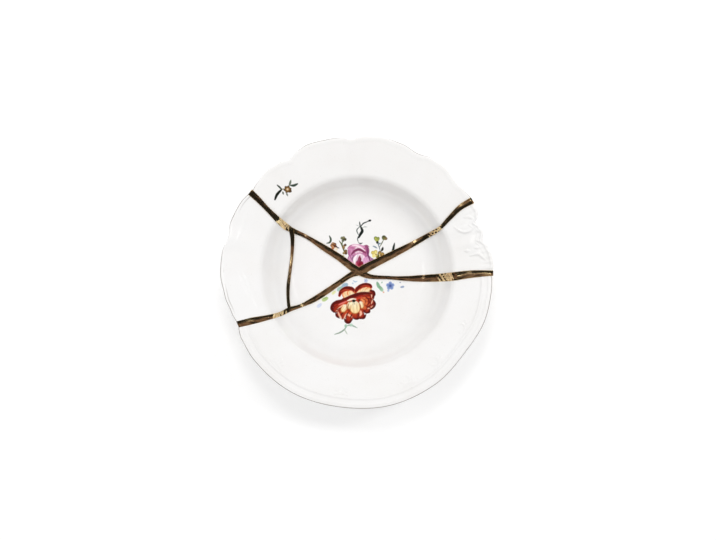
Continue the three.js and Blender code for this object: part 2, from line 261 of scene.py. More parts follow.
def plate_profile():
    """The whole section: the upper side, the round lip, the underside and the foot ring."""
    middle = np.arange(0, PAINTED_RADIUS, PAINTED_STEP)
    rim = np.arange(PAINTED_RADIUS, RIM_RADIUS - LIP / 2, RIM_STEP)
    top = [(r, float(glaze_height(r))) for r in (*middle, *rim)]
    arc = np.linspace(math.pi / 2, -math.pi / 2, 9)
    lip_middle = plate_height - LIP / 2
    lip = [
        (RIM_RADIUS - LIP / 2 + (LIP / 2 - LIP_TRIM) * math.cos(a), lip_middle + LIP / 2 * math.sin(a))
        for a in arc
    ]
    foot_out, foot_in = FOOT_RADIUS + FOOT_WIDTH / 2, FOOT_RADIUS - FOOT_WIDTH / 2
    under = []
    for r in np.arange(RIM_RADIUS - LIP - 2 * mm, foot_out, -2 * mm):
        lean = math.atan(float(glaze_slope(r)))
        point = (r + WALL * math.sin(lean), float(glaze_height(r)) - WALL * math.cos(lean))
        if point[0] > foot_out + 2 * FOOT_TAPER and point[1] > FLOOR_BOTTOM:
            under.append(point)
    foot = [
        (foot_out + FOOT_TAPER, FLOOR_BOTTOM),
        (foot_out + 0.3 * mm, 0.4 * mm),
        (foot_out - 0.3 * mm, 0),
        (foot_in + 0.3 * mm, 0),
        (foot_in - 0.3 * mm, 0.4 * mm),
        (foot_in - FOOT_TAPER, FLOOR_BOTTOM),
    ]
    return [*top, *lip, *under, *foot, (0, FLOOR_BOTTOM)]


def turned(name, outline, steps):
    """An outline of radius and height, drawn out from one point and spun round the plate's axis."""
    bpy.ops.object.select_all(action="DESELECT")
    bpy.ops.mesh.primitive_plane_add(size=1 * mm)
    piece = bpy.context.object
    piece.name = name
    bpy.ops.object.mode_set(mode="EDIT")
    bpy.ops.mesh.merge(type="CENTER")
    bpy.ops.transform.translate(value=(CENTRE[0] + outline[0][0], CENTRE[1], outline[0][1]))
    for (r0, z0), (r1, z1) in zip(outline, outline[1:]):
        bpy.ops.mesh.extrude_region_move(TRANSFORM_OT_translate={"value": (r1 - r0, 0, z1 - z0)})
    bpy.ops.mesh.select_all(action="SELECT")
    bpy.ops.mesh.spin(
        steps=steps,
        angle=2 * math.pi,
        use_auto_merge=True,
        center=(CENTRE[0], CENTRE[1], 0),
        axis=(0, 0, 1),
    )
    bpy.ops.mesh.select_all(action="SELECT")
    bpy.ops.mesh.remove_doubles(threshold=MERGE_DISTANCE)
    bpy.ops.mesh.normals_make_consistent(inside=False)
    bpy.ops.object.mode_set(mode="OBJECT")
    return piece


blank = turned("plate_blank", plate_profile(), TURN_STEPS)

# Cracks: each runs from one point to the next with its own width, the same on every shard and
# in the gold that fills it.
SEAM_WIDTH = 7.6 * mm
JOINT_GAP = 0.05 * mm  # added at each side of a crack's width
CRACK_NORTH = [
    (0.980, 143.0, 0.72), (0.907, 143.5, 0.63), (0.811, 144.7, 0.53), (0.697, 146.3, 0.67),
    (0.635, 147.1, 0.75), (0.588, 146.9, 0.58), (0.472, 144.8, 0.43), (0.305, 143.0, 0.70),
    (0.171, 139.6, 0.79), (0.055, 132.3, 0.87), (0.016, 45.0, 0.97), (0.065, 30.4, 1.00),
    (0.145, 28.7, 0.92), (0.288, 27.6, 0.82), (0.465, 27.5, 0.64), (0.579, 27.9, 0.53),
    (0.656, 28.1, 0.49), (0.697, 28.6, 0.41), (0.783, 30.7, 0.49), (0.897, 32.5, 0.63),
    (0.992, 32.3, 0.75),
]
CRACK_EAST = [
    (0.016, 45.0, 0.97), (0.088, -16.3, 0.55), (0.230, -8.8, 0.37), (0.357, -6.7, 0.53),
    (0.468, -5.1, 0.76), (0.614, -3.3, 0.91), (0.697, -2.3, 0.97), (0.826, -0.7, 0.87),
    (0.935, -0.2, 0.70), (0.989, -0.1, 0.61),
]
CRACK_SOUTH = [
    (0.016, 45.0, 0.97), (0.054, -162.3, 0.63), (0.147, -151.9, 0.58), (0.269, -148.9, 0.64),
    (0.387, -148.6, 0.61), (0.495, -150.0, 0.39), (0.575, -151.7, 0.53), (0.644, -151.9, 0.49),
    (0.740, -153.6, 0.58), (0.851, -155.5, 0.79), (0.951, -156.7, 0.75),
]
CRACK_WEST = [
    (0.588, 146.9, 0.58), (0.549, 152.1, 0.46), (0.507, 164.7, 0.33), (0.503, 177.8, 0.34),
    (0.529, -168.1, 0.37), (0.561, -156.5, 0.34), (0.575, -151.7, 0.41),
]
PAST_RIM = 0.08 * RIM_RADIUS
CUT_STEP = 1.5 * mm


def polar(share, degrees):
    """A place on the plate, by its share of the rim's radius and its turn."""
    turn = math.radians(degrees)
    return np.array((math.cos(turn), math.sin(turn))) * share * RIM_RADIUS


def smooth_line(points, step):
    """Points at an even spacing along a centripetal curve; a third value rides along."""
    points = [np.array(p, float) for p in points]
    ends = [2 * points[0] - points[1], *points, 2 * points[-1] - points[-2]]
    fine = []
    for p0, p1, p2, p3 in zip(ends, ends[1:], ends[2:], ends[3:]):
        k0, k1, k2 = (math.sqrt(np.linalg.norm(b - a)) for a, b in ((p0, p1), (p1, p2), (p2, p3)))
        m1 = ((p1 - p0) / k0 - (p2 - p0) / (k0 + k1) + (p2 - p1) / k1) * k1
        m2 = ((p2 - p1) / k1 - (p3 - p1) / (k1 + k2) + (p3 - p2) / k2) * k1
        t = np.linspace(0, 1, 40, endpoint=False)[:, None]
        fine.append(
            (2 * t**3 - 3 * t**2 + 1) * p1 + (t**3 - 2 * t**2 + t) * m1
            + (-2 * t**3 + 3 * t**2) * p2 + (t**3 - t**2) * m2
        )
    fine = np.vstack([*fine, points[-1][None]])
    along = np.r_[0, np.cumsum(np.linalg.norm(np.diff(fine[:, :2], axis=0), axis=1))]
    count = max(2, round(along[-1] / step) + 1)
    spots = np.linspace(0, along[-1], count)
    return np.column_stack([np.interp(spots, along, fine[:, k]) for k in range(fine.shape[1])])


def crack_line(points, starts_at_rim, ends_at_rim, step):
    """A crack's middle line with its width, run on past the lip at an end that is there."""
    line = [np.r_[polar(share, turn), width * SEAM_WIDTH] for share, turn, width in points]

    def beyond(end, before):
        away = (end - before)[:2]
        return np.r_[end[:2] + away / np.linalg.norm(away) * PAST_RIM, end[2]]

    if starts_at_rim:
        line.insert(0, beyond(line[0], line[1]))
    if ends_at_rim:
        line.append(beyond(line[-1], line[-2]))
    return smooth_line(line, step)


CRACKS = [
    (CRACK_NORTH, True, True),
    (CRACK_EAST, False, True),
    (CRACK_SOUTH, False, True),
    (CRACK_WEST, False, False),
]


def rolled_bar(name, line, section):
    """A grid rolled round a line into a closed bar; section gives the ring at each point.

    The last value that section gets is how much the bar's left side faces the back, -1 to 1.
    """
    away = np.gradient(line[:, :2], axis=0)
    away /= np.linalg.norm(away, axis=1)[:, None]
    rings = [section(x, y, width, away[i, 0]) for i, (x, y, width) in enumerate(line)]
    around = len(rings[0])
    bpy.ops.object.select_all(action="DESELECT")
    bpy.ops.mesh.primitive_grid_add(x_subdivisions=len(line) - 1, y_subdivisions=around, size=1)
    bar = bpy.context.object
    bar.name = name
    count = len(bar.data.vertices)
    co = np.empty(count * 3)
    bar.data.vertices.foreach_get("co", co)
    co = co.reshape(-1, 3)
    station = np.rint((co[:, 0] + 0.5) * (len(line) - 1)).astype(int)
    spot = np.rint((co[:, 1] + 0.5) * around).astype(int) % around
    ring = np.array(rings)[station, spot]
    sideways = np.column_stack([-away[station, 1], away[station, 0]])
    co[:, :2] = CENTRE + line[station, :2] + sideways * ring[:, :1]
    co[:, 2] = ring[:, 1]
    bar.data.vertices.foreach_set("co", co.ravel())
    bpy.ops.object.mode_set(mode="EDIT")
    bpy.ops.mesh.select_all(action="SELECT")
    bpy.ops.mesh.remove_doubles(threshold=MERGE_DISTANCE)
    bpy.ops.mesh.select_all(action="SELECT")
    bpy.ops.mesh.fill_holes(sides=0)
    bpy.ops.mesh.select_all(action="SELECT")
    bpy.ops.mesh.normals_make_consistent(inside=False)
    bpy.ops.object.mode_set(mode="OBJECT")
    return bar


def combine(piece, other, operation):
    """Applies a boolean of the other object to the piece."""
    cut = piece.modifiers.new(operation.lower(), "BOOLEAN")
    cut.operation = operation
    cut.object = other
    cut.solver = "MANIFOLD"
    bpy.ops.object.select_all(action="DESELECT")
    bpy.context.view_layer.objects.active = piece
    piece.select_set(True)
    bpy.ops.object.modifier_apply(modifier=cut.name)


def joined(bars):
    """The bars made one solid."""
    whole = bars[0]
    for bar in bars[1:]:
        combine(whole, bar, "UNION")
        bpy.data.objects.remove(bar)
    return whole


def cut_section(x, y, width, north):
    """Section of a crack: straight down through the whole plate."""
    half = width / 2 + JOINT_GAP
    low, high = -10 * mm, plate_height + 20 * mm
    return [(-half, low), (half, low), (half, high), (-half, high)]


cracks = joined([
    rolled_bar("crack_%d" % i, crack_line(points, start, end, CUT_STEP), cut_section)
    for i, (points, start, end) in enumerate(CRACKS)
])
cracks.name = "cracks"

# Top shard: the large piece at the back, from a plate with a bracket-lobed rim. White glaze
# with enamel flowers over it: half of the bouquet and a sprig on the rim.
SCALLOP_DEPTH = 6.6 * mm
RIM_TOP = [
    (32, 0.06), (38, -0.15), (42, -0.30), (50.5, 0.14), (57, 0.05), (63.5, -0.32), (71, 0.05),
    (79.4, 0.26), (87, 0.09), (93, -0.30), (96, 0.03), (103, 0.12), (111, 0.23), (117, 0),
    (121, -0.47), (126, -0.12), (132, 0.09), (138, -0.18), (143, -0.41),
]
BEAD_INSET = 3.4 * mm
BEAD_WIDTH = 2.4 * mm
BEAD_HEIGHT = 0.35 * mm
DARK_LINE_HALF_WIDTH = 0.38 * mm  # half the width of the thin dark line along a lip
LIP_LINE = 0.4 * mm  # how far inside the lip it runs
# colour of the thin dark grey-brown line laid over the glaze along the lips
DARK_LINE_COLOUR = (96, 82, 66)
UPPER_SKIN = 1.2 * mm  # what lies less deep than this belongs to the upper side


def rim_offset(rim, degrees):
    """Smooth value between the points of a rim's list, in metres past the nominal radius."""
    turns = np.array([p[0] for p in rim], float)
    shares = np.array([p[1] for p in rim], float)
    middle = (turns[0] + turns[-1]) / 2
    degrees = (degrees - middle + 180) % 360 - 180 + middle
    place = np.clip(np.searchsorted(turns, degrees) - 1, 0, len(turns) - 2)
    t = np.clip((degrees - turns[place]) / (turns[place + 1] - turns[place]), 0, 1)
    t = t * t * (3 - 2 * t)
    return (shares[place] * (1 - t) + shares[place + 1] * t) * SCALLOP_DEPTH


def bump(distance, width):
    """A round-backed ridge of height 1 about distance 0."""
    return np.where(np.abs(distance) < width / 2, np.cos(np.pi * distance / width) ** 2, 0.0)


def vertex_places(piece):
    """Vertex places from the plate's axis, and their radius and angle."""
    co = np.empty(len(piece.data.vertices) * 3)
    piece.data.vertices.foreach_get("co", co)
    co = co.reshape(-1, 3)
    co[:, :2] -= CENTRE
    return co, np.hypot(co[:, 0], co[:, 1]), np.degrees(np.arctan2(co[:, 1], co[:, 0]))


def set_places(piece, co):
    """Puts vertex places, counted from the plate's axis, back into a piece."""
    co = co.copy()
    co[:, :2] += CENTRE
    piece.data.vertices.foreach_set("co", co.ravel())
    piece.data.update()


def subdivide_zone(piece, chosen, cuts):
    """Subdivides the upper faces in a zone: chosen(places, radius) says which."""
    middles = np.empty(len(piece.data.polygons) * 3)
    piece.data.polygons.foreach_get("center", middles)
    middles = middles.reshape(-1, 3)
    middles[:, :2] -= CENTRE
    radius = np.hypot(middles[:, 0], middles[:, 1])
    above = middles[:, 2] > glaze_height(np.minimum(radius, RIM_RADIUS)) - UPPER_SKIN
    mask = chosen(middles, radius) & above
    bpy.ops.object.select_all(action="DESELECT")
    bpy.context.view_layer.objects.active = piece
    piece.select_set(True)
    bpy.ops.object.mode_set(mode="EDIT")
    bpy.context.tool_settings.mesh_select_mode = (False, False, True)
    bpy.ops.mesh.select_all(action="DESELECT")
    bpy.ops.object.mode_set(mode="OBJECT")
    piece.data.polygons.foreach_set("select", mask)
    bpy.ops.object.mode_set(mode="EDIT")
    bpy.ops.mesh.subdivide(number_cuts=cuts)
    bpy.ops.object.mode_set(mode="OBJECT")


def stretch_rim(piece, stretch):
    """Moves the rim out or in from the well's corner; stretch(degrees) says how much."""
    co, radius, degrees = vertex_places(piece)
    past = corner_radius + (radius - corner_radius) * stretch(degrees)
    moved = np.where(radius > corner_radius, past, radius)
    co[:, :2] *= (moved / np.maximum(radius, 1e-9))[:, None]
    set_places(piece, co)


def shard_blank(name, rim):
    """A copy of the blank with a shard's own rim outline."""
    piece = blank.copy()
    piece.data = blank.data.copy()
    piece.name = name
    bpy.context.collection.objects.link(piece)
    stretch_rim(piece, lambda degrees: (RIM_WIDTH + rim_offset(rim, degrees)) / RIM_WIDTH)
    return piece


def rim_inset(rim, radius, degrees):
    """How far inside its shard's lip a place lies."""
    return RIM_RADIUS + rim_offset(rim, degrees) - radius


def raise_glaze(piece, height):
    """Lifts the upper surface by height(places, radius, degrees)."""
    co, radius, degrees = vertex_places(piece)
    upper = co[:, 2] > glaze_height(np.minimum(radius, RIM_RADIUS - LIP / 2)) - LIP * 0.45
    co[:, 2] += np.where(upper, height(co, radius, degrees), 0)
    set_places(piece, co)


def break_out(piece, share, degrees):
    """Cuts the cracks and keeps the one body that lies at a place on the plate."""
    combine(piece, cracks, "DIFFERENCE")
    places = vertex_places(piece)[0][:, :2]
    nearest = np.argmin(np.linalg.norm(places - polar(share, degrees), axis=1))
    bpy.ops.object.mode_set(mode="EDIT")
    bpy.context.tool_settings.mesh_select_mode = (True, False, False)
    bpy.ops.mesh.select_all(action="DESELECT")
    bpy.ops.object.mode_set(mode="OBJECT")
    piece.data.vertices[int(nearest)].select = True
    bpy.ops.object.mode_set(mode="EDIT")
    bpy.ops.mesh.select_linked()
    bpy.ops.mesh.select_all(action="INVERT")
    bpy.ops.mesh.delete(type="VERT")
    bpy.ops.object.mode_set(mode="OBJECT")
    bpy.ops.object.shade_smooth_by_angle(angle=math.radians(40))


class Enamel:
    """Colour painted over a shard's glaze, kept for each vertex, in millimetres from the axis."""

    def __init__(self, piece):
        self.piece = piece
        co, self.radius, self.degrees = vertex_places(piece)
        self.at = co[:, :2] / mm
        top = glaze_height(np.minimum(self.radius, RIM_RADIUS)) - UPPER_SKIN
        self.up = (co[:, 2] > top).astype(float)
        self.rgb = np.ones((len(co), 3))
        self.cover = np.zeros(len(co))

    def lay(self, where, colour, cover):
        """Lays colour over what is there. Colours are as seen, 0 to 255."""
        cover = np.clip(cover, 0, 1) * self.up[where]
        linear = np.clip(np.array(colour, float) / 255, 0, 1) ** 2.2
        before = self.cover[where] * (1 - cover)
        total = before + cover
        share = np.divide(cover, total, out=np.zeros_like(cover), where=total > 1e-6)[:, None]
        self.rgb[where] = self.rgb[where] * (1 - share) + linear * share
        self.cover[where] = total

    def stroke(self, points, width, colour, tip=0.35, strength=1.0, soft=0.35):
        """A brush stroke through points, fullest in the middle and pointed at its ends."""
        line = smooth_line([(*p, 0) for p in points], 0.4)[:, :2]
        low, high = line.min(axis=0) - width - 1, line.max(axis=0) + width + 1
        where = np.flatnonzero(np.all((self.at > low) & (self.at < high), axis=1))
        if not len(where):
            return
        gap = np.linalg.norm(self.at[where, None] - line[None], axis=2)
        nearest = gap.argmin(axis=1)
        along = nearest / (len(line) - 1)
        full = tip + (1 - tip) * np.sin(np.pi * np.clip(along, 0.02, 0.98)) ** 0.7
        edge = width / 2 * full - gap.min(axis=1)
        self.lay(where, colour, strength * (edge / soft + 0.5))

    def petal(self, foot, tip, width, inner, outer, rim=None, strength=1.0, round_tip=0.62,
              soft=0.4):
        """A petal from its foot to its tip, shaded from one colour to another, with a dark rim."""
        foot, tip = np.array(foot, float), np.array(tip, float)
        length = np.linalg.norm(tip - foot)
        ahead = (tip - foot) / length
        reach = length + width
        where = np.flatnonzero(np.linalg.norm(self.at - foot, axis=1) < reach)
        if not len(where):
            return
        local = self.at[where] - foot
        u = local @ ahead / length
        v = local @ np.array((-ahead[1], ahead[0])) / (width / 2)
        skew = np.where(u < round_tip, u / round_tip, 1 + (u - round_tip) / (1 - round_tip))
        body = 1 - np.hypot(skew - 1, v)
        edge = body * min(width / 2, length * (1 - round_tip))
        shade = np.clip(u + 0.25 * np.abs(v), 0, 1)[:, None]
        streaks = 0.5 + 0.5 * np.sin(v * 9 + u * 2)
        colour = np.array(inner) * (1 - shade) + np.array(outer) * shade
        colour = colour * (0.93 + 0.1 * streaks[:, None])
        if rim is not None:
            dark = np.clip(1.25 - edge / 0.85, 0, 1)[:, None] * np.clip(u * 2.4 - 0.5, 0, 1)[:, None]
            colour = colour * (1 - dark) + np.array(rim) * dark
        self.lay(where, colour, strength * (edge / soft + 0.5))

    def dot(self, middle, size, colour, strength=1.0):
        """A round touch of the brush."""
        where = np.flatnonzero(np.linalg.norm(self.at - np.array(middle), axis=1) < size + 1)
        if len(where):
            away = np.linalg.norm(self.at[where] - np.array(middle), axis=1)
            self.lay(where, colour, strength * ((size - away) / 0.35 + 0.5))

    def blossom(self, middle, size, petals, turn, inner, outer, heart, rim=None, strength=1.0):
        """A small open flower of equal petals round a heart."""
        for i in range(petals):
            angle = math.radians(turn + 360 * i / petals)
            ahead = np.array((math.cos(angle), math.sin(angle)))
            self.petal(
                np.array(middle) + ahead * size * 0.12, np.array(middle) + ahead * size,
                size * 4.1 / petals, inner, outer, rim, strength, 0.56,
            )
        self.dot(middle, size * 0.26, heart, strength)

    def dark_line(self, rim, inset, left, strength=1.0):
        """A thin dark grey-brown line along a shard's lip, shown along some stretches and not others; left is
        how much of it shows, 0 to 1.
        """
        away = rim_inset(rim, self.radius, self.degrees) - inset
        # a dark grey-brown line laid over the glaze near the lip, shown only along some stretches of it
        present = np.clip(0.5 + 1.2 * np.sin(self.degrees * 0.16 + 3.4) + 3 * (left - 0.5), 0, 1)
        line = np.clip(1.3 - np.abs(away) / DARK_LINE_HALF_WIDTH, 0, 1) * present * strength
        where = np.flatnonzero(line > 0.01)
        self.up[where] = True
        self.lay(where, DARK_LINE_COLOUR, line[where])

    def finish(self):
        """Keeps the painting on the piece, with its cover as the fourth value."""
        layer = self.piece.data.color_attributes.new("enamel", "FLOAT_COLOR", "POINT")
        layer.data.foreach_set("color", np.column_stack([self.rgb, self.cover]).ravel())


def noise(tree, scale, detail):
    """Noise that stays where it is on the piece."""
    place = tree.nodes.new("ShaderNodeTexCoord")
    node = tree.nodes.new("ShaderNodeTexNoise")
    node.inputs["Scale"].default_value = scale
    node.inputs["Detail"].default_value = detail
    tree.links.new(place.outputs["Object"], node.inputs["Vector"])
    return node.outputs["Fac"]


def spread(tree, value, low=0.0, high=1.0, start=0.0, end=1.0):
    """A value taken from between low and high to between start and end."""
    node = tree.nodes.new("ShaderNodeMapRange")
    for name, number in (("From Min", low), ("From Max", high), ("To Min", start), ("To Max", end)):
        node.inputs[name].default_value = number
    tree.links.new(value, node.inputs["Value"])
    return node.outputs["Result"]


def product(tree, first, second):
    """Two values multiplied, kept between 0 and 1."""
    node = tree.nodes.new("ShaderNodeMath")
    node.operation = "MULTIPLY"
    node.use_clamp = True
    tree.links.new(first, node.inputs[0])
    tree.links.new(second, node.inputs[1])
    return node.outputs["Value"]


def blend(tree, factor, first, second, way="MIX"):
    """Two colours blended; each is another node's colour or a plain one."""
    node = tree.nodes.new("ShaderNodeMix")
    node.data_type = "RGBA"
    node.blend_type = way
    tree.links.new(factor, node.inputs["Factor"])
    for name, colour in (("A", first), ("B", second)):
        if isinstance(colour, tuple):
            node.inputs[name].default_value = (*colour, 1)
        else:
            tree.links.new(colour, node.inputs[name])
    return node.outputs["Result"]


def shallow_relief(tree, height, strength, depth):
    """A low bump on the material's surface."""
    node = tree.nodes.new("ShaderNodeBump")
    node.inputs["Strength"].default_value = strength
    node.inputs["Distance"].default_value = depth
    tree.links.new(height, node.inputs["Height"])
    tree.links.new(node.outputs["Normal"], tree.nodes["Principled BSDF"].inputs["Normal"])


GLAZE_SHADE = (0.965, 0.955, 0.94)
SPECK_COLOUR = (0.55, 0.5, 0.44)
WAVINESS = 1.0
SPECKS = 0.5  # how plain the iron specks are
ENAMEL_ROUGHNESS = 0.3


def glaze_group():
    """Unevenness that all the shards' glazes share: tint, roughness and a soft waviness."""
    group = bpy.data.node_groups.new("glaze unevenness", "ShaderNodeTree")
    for name, side, kind in (
        ("Glaze", "INPUT", "NodeSocketColor"),
        ("Waviness", "INPUT", "NodeSocketFloat"),
        ("Specks", "INPUT", "NodeSocketFloat"),
        ("Colour", "OUTPUT", "NodeSocketColor"),
        ("Roughness", "OUTPUT", "NodeSocketFloat"),
        ("Height", "OUTPUT", "NodeSocketFloat"),
    ):
        group.interface.new_socket(name=name, in_out=side, socket_type=kind)
    start, end = group.nodes.new("NodeGroupInput"), group.nodes.new("NodeGroupOutput")
    broad = noise(group, 38, 2)
    shade = spread(group, broad, 0.35, 0.75, 0, 0.6)
    tint = blend(group, shade, start.outputs["Glaze"], GLAZE_SHADE, "MULTIPLY")
    speck = spread(group, noise(group, 1500, 1), 0.72, 0.78)
    spotted = blend(group, product(group, speck, start.outputs["Specks"]), tint, SPECK_COLOUR)
    wave = product(group, noise(group, 90, 1), start.outputs["Waviness"])
    group.links.new(spotted, end.inputs["Colour"])
    group.links.new(spread(group, broad, start=0.07, end=0.15), end.inputs["Roughness"])
    group.links.new(wave, end.inputs["Height"])
    return group


GLAZE_UNEVENNESS = glaze_group()


def glaze(name, white):
    """Glossy porcelain glaze with the shard's enamel painted over it."""
    material = bpy.data.materials.new(name)
    material.use_nodes = True
    tree = material.node_tree
    shader = tree.nodes["Principled BSDF"]
    base = tree.nodes.new("ShaderNodeGroup")
    base.node_tree = GLAZE_UNEVENNESS
    base.inputs["Glaze"].default_value = (*white, 1)
    base.inputs["Waviness"].default_value = WAVINESS
    base.inputs["Specks"].default_value = SPECKS
    enamel = tree.nodes.new("ShaderNodeAttribute")
    enamel.attribute_name = "enamel"
    brushed = spread(tree, noise(tree, 700, 3), start=0.93, end=1.12)
    cover = product(tree, enamel.outputs["Alpha"], brushed)
    painted_glaze = blend(tree, cover, base.outputs["Colour"], enamel.outputs["Color"])
    tree.links.new(painted_glaze, shader.inputs["Base Color"])
    gloss = tree.nodes.new("ShaderNodeMix")
    gloss.inputs["B"].default_value = ENAMEL_ROUGHNESS
    tree.links.new(cover, gloss.inputs["Factor"])
    tree.links.new(base.outputs["Roughness"], gloss.inputs["A"])
    tree.links.new(gloss.outputs["Result"], shader.inputs["Roughness"])
    shallow_relief(tree, base.outputs["Height"], 0.25, 0.15 * mm)
    shader.inputs["IOR"].default_value = 1.5
    shader.inputs["Coat Weight"].default_value = 0.35
    shader.inputs["Coat Roughness"].default_value = 0.04
    return material


def dress(piece, material, node):
    """Gives a shard its glaze and puts it in its solid's place."""
    piece.data.materials.clear()
    piece.data.materials.append(material)
    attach(piece, "root")
    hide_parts(node)


shard_top = shard_blank("top_shard", RIM_TOP)
subdivide_zone(
    shard_top,
    lambda at, radius: (at[:, 0] > -76 * mm) & (at[:, 0] < -50 * mm) & (at[:, 1] > 62 * mm)
    & (at[:, 1] < 85 * mm),
    2,
)
raise_glaze(shard_top, lambda at, radius, degrees: BEAD_HEIGHT * bump(
    rim_inset(RIM_TOP, radius, degrees) - BEAD_INSET, BEAD_WIDTH))
break_out(shard_top, 0.5, 90)

painted = Enamel(shard_top)
petal, stroke, dot = painted.petal, painted.stroke, painted.dot
# dark sprig that rises from the rose
stroke([(0.9, 27), (0.1, 30.5), (1.5, 34.2)], 0.9, (46, 66, 64))
stroke([(1.2, 31.5), (2.6, 34.6), (4.3, 37.6), (2.7, 41.8)], 2.7, (22, 34, 30))
stroke([(1.2, 33.6), (-0.6, 38.3), (2.2, 41.6)], 1.0, (54, 78, 74))
stroke([(2.6, 40.6), (2.2, 43.5), (1.7, 46)], 1.3, (40, 56, 52))
stroke([(2.8, 41.2), (5.0, 44.2), (8.0, 45.6), (10.4, 46.8)], 1.2, (34, 50, 48))
petal((9.4, 46.4), (12.4, 47.3), 1.9, (14, 22, 22), (14, 22, 22))
stroke([(4.6, 40.8), (6.6, 41.3), (8.8, 41)], 0.6, (120, 134, 128))
stroke([(-1.4, 43), (0.4, 42.4), (1.6, 41.6)], 0.6, (130, 142, 138))
stroke([(1.0, 26.9), (2.8, 26.3), (4.4, 26.9)], 1.2, (36, 46, 44))
# left cluster of small flowers
stroke([(-25.2, 33.2), (-23.9, 30), (-24.8, 27.4), (-27.6, 26.6)], 1.9, (58, 76, 58))
stroke([(-16.4, 28.8), (-14.2, 25.6), (-12.6, 21.5), (-11.2, 17.2)], 1.5, (92, 96, 54))
stroke([(-12.9, 30.4), (-13.6, 27.4), (-13.6, 24.6)], 0.9, (96, 108, 66))
petal((-21.3, 24.4), (-22.6, 27.4), 3.0, (214, 170, 122), (168, 122, 82))
petal((-21.4, 24.4), (-24.4, 24.6), 2.8, (206, 150, 100), (150, 100, 60))
petal((-21.3, 24), (-19.6, 26.8), 2.8, (196, 132, 84), (136, 84, 48), (96, 56, 34))
petal((-21.4, 24), (-18.2, 22.8), 2.8, (170, 104, 64), (104, 54, 30), (74, 36, 22))
petal((-21.6, 23.8), (-22.4, 21), 2.8, (216, 150, 104), (168, 104, 62))
petal((-20.6, 22.6), (-17.8, 20.4), 2.6, (250, 238, 214), (244, 226, 196), strength=0.8)
stroke([(-23.4, 25.8), (-21.2, 24.6), (-20, 22.8)], 1.1, (98, 54, 30), strength=0.85)
dot((-20.3, 24.2), 0.8, (74, 36, 26))
petal((-12.6, 30.3), (-15, 32), 2.6, (134, 136, 100), (108, 112, 82))
petal((-12.6, 30.3), (-12.2, 32.8), 2.6, (150, 148, 108), (122, 116, 78))
petal((-12.6, 30.3), (-9.8, 29.8), 2.6, (98, 92, 62), (70, 60, 40))
petal((-12.8, 30), (-13.2, 27.8), 2.4, (104, 108, 74), (82, 88, 62))
stroke([(-14, 31), (-12.2, 30.2), (-10.8, 30.6)], 0.9, (60, 56, 36), strength=0.8)
petal((-12.6, 24), (-10, 25.6), 2.4, (132, 92, 56), (92, 60, 34), (66, 40, 24))
petal((-12.6, 24), (-12.2, 21.4), 2.4, (176, 142, 88), (128, 96, 54))
petal((-11.4, 18.6), (-9.6, 20.6), 2.6, (150, 112, 66), (106, 72, 38))
petal((-11.4, 18.6), (-9.4, 16.8), 2.6, (120, 84, 48), (84, 54, 30))
petal((-11.6, 18.6), (-13, 16.8), 2.2, (176, 154, 96), (136, 110, 62))
stroke([(-18.4, 22.9), (-16.4, 22.2)], 1.3, (96, 84, 104))
stroke([(-18.6, 17.6), (-16.2, 16.6)], 1.6, (92, 96, 112))
dot((-12.9, 14.8), 1.1, (192, 190, 96))
# pink rose, its foot hidden by the seams
ROSE_PALE, ROSE_MID = (240, 206, 224), (208, 136, 176)
petal((0, 8), (-6.8, 23.2), 8.4, ROSE_MID, (206, 138, 176), (158, 78, 122))
petal((-1, 8), (-7.8, 15.2), 7.4, ROSE_PALE, (214, 152, 190), (158, 88, 132))
stroke([(-6.6, 20.6), (-7.4, 17.4), (-6.2, 14), (-4.8, 11)], 1.3, (180, 100, 148), strength=0.8)
petal((6, 6), (15, 12), 6.4, (206, 160, 200), (196, 150, 196), (120, 74, 116))
petal((3, 8), (8.4, 24.2), 8, (200, 130, 172), (176, 92, 134), (132, 56, 98))
petal((4, 5), (11.6, 14.6), 8.5, ROSE_PALE, (214, 154, 196), (136, 74, 120))
stroke([(-8, 21.8), (-4.6, 24), (0, 24.2), (5.6, 23.4)], 3.2, (212, 146, 184), tip=0.7)
petal((3.6, 14), (-1.8, 24), 7, (236, 196, 216), (240, 206, 222), (198, 126, 164))
stroke([(-8.6, 22.4), (-6.2, 24.4), (-3.6, 24.6)], 1.1, (168, 84, 130), strength=0.75)
stroke([(5.4, 24.2), (8.4, 24.6), (10.6, 23.2)], 1.2, (150, 66, 112), strength=0.8)
stroke([(-4.8, 24.6), (-1.2, 24.6), (2.8, 22.8), (6.8, 19.8)], 1.7, (248, 222, 232))
stroke([(-5.2, 16.8), (-2.8, 19.4), (0.9, 21), (4.4, 19.8), (7.2, 18)], 2.5, (126, 44, 86))
stroke([(-7.4, 22.2), (-4.6, 22.6), (-2.4, 21.8)], 1.5, (186, 100, 146), strength=0.8)
stroke([(8.4, 22.8), (8.8, 20), (9.2, 17.6), (10.6, 13), (12, 9.4)], 1.5, (116, 50, 96))
petal((1.8, 3.6), (2.2, 18.2), 12.4, (244, 210, 226), (244, 218, 232), (180, 96, 146), round_tip=0.5)
stroke([(-2.6, 8.4), (-2.8, 12), (-0.8, 15.8)], 2.2, (252, 240, 244), strength=0.9)
stroke([(-4.6, 10.8), (-4.6, 13.2), (-3.2, 15.6)], 1.1, (132, 92, 122), strength=0.9)
petal((6, 7), (7.6, 14), 4.4, (232, 176, 212), (222, 158, 200))
petal((1.4, 4.6), (0.8, 11.4), 5, (190, 60, 92), (152, 32, 66), (128, 24, 58))
petal((2.6, 4.6), (3.6, 10.6), 4.2, (176, 40, 76), (136, 26, 60))
stroke([(0.4, 9.6), (1.4, 12.4), (2.2, 15.2)], 2.3, (154, 62, 96))
stroke([(2.4, 10), (2.8, 12.4), (2.2, 14.4)], 1.5, (120, 30, 66))
stroke([(-1.2, 9.6), (-0.8, 7), (0.6, 5.4)], 1.5, (206, 96, 124), strength=0.9)
stroke([(0.8, 6.8), (2.4, 8), (4.4, 7)], 2.0, (128, 14, 40), strength=0.9)
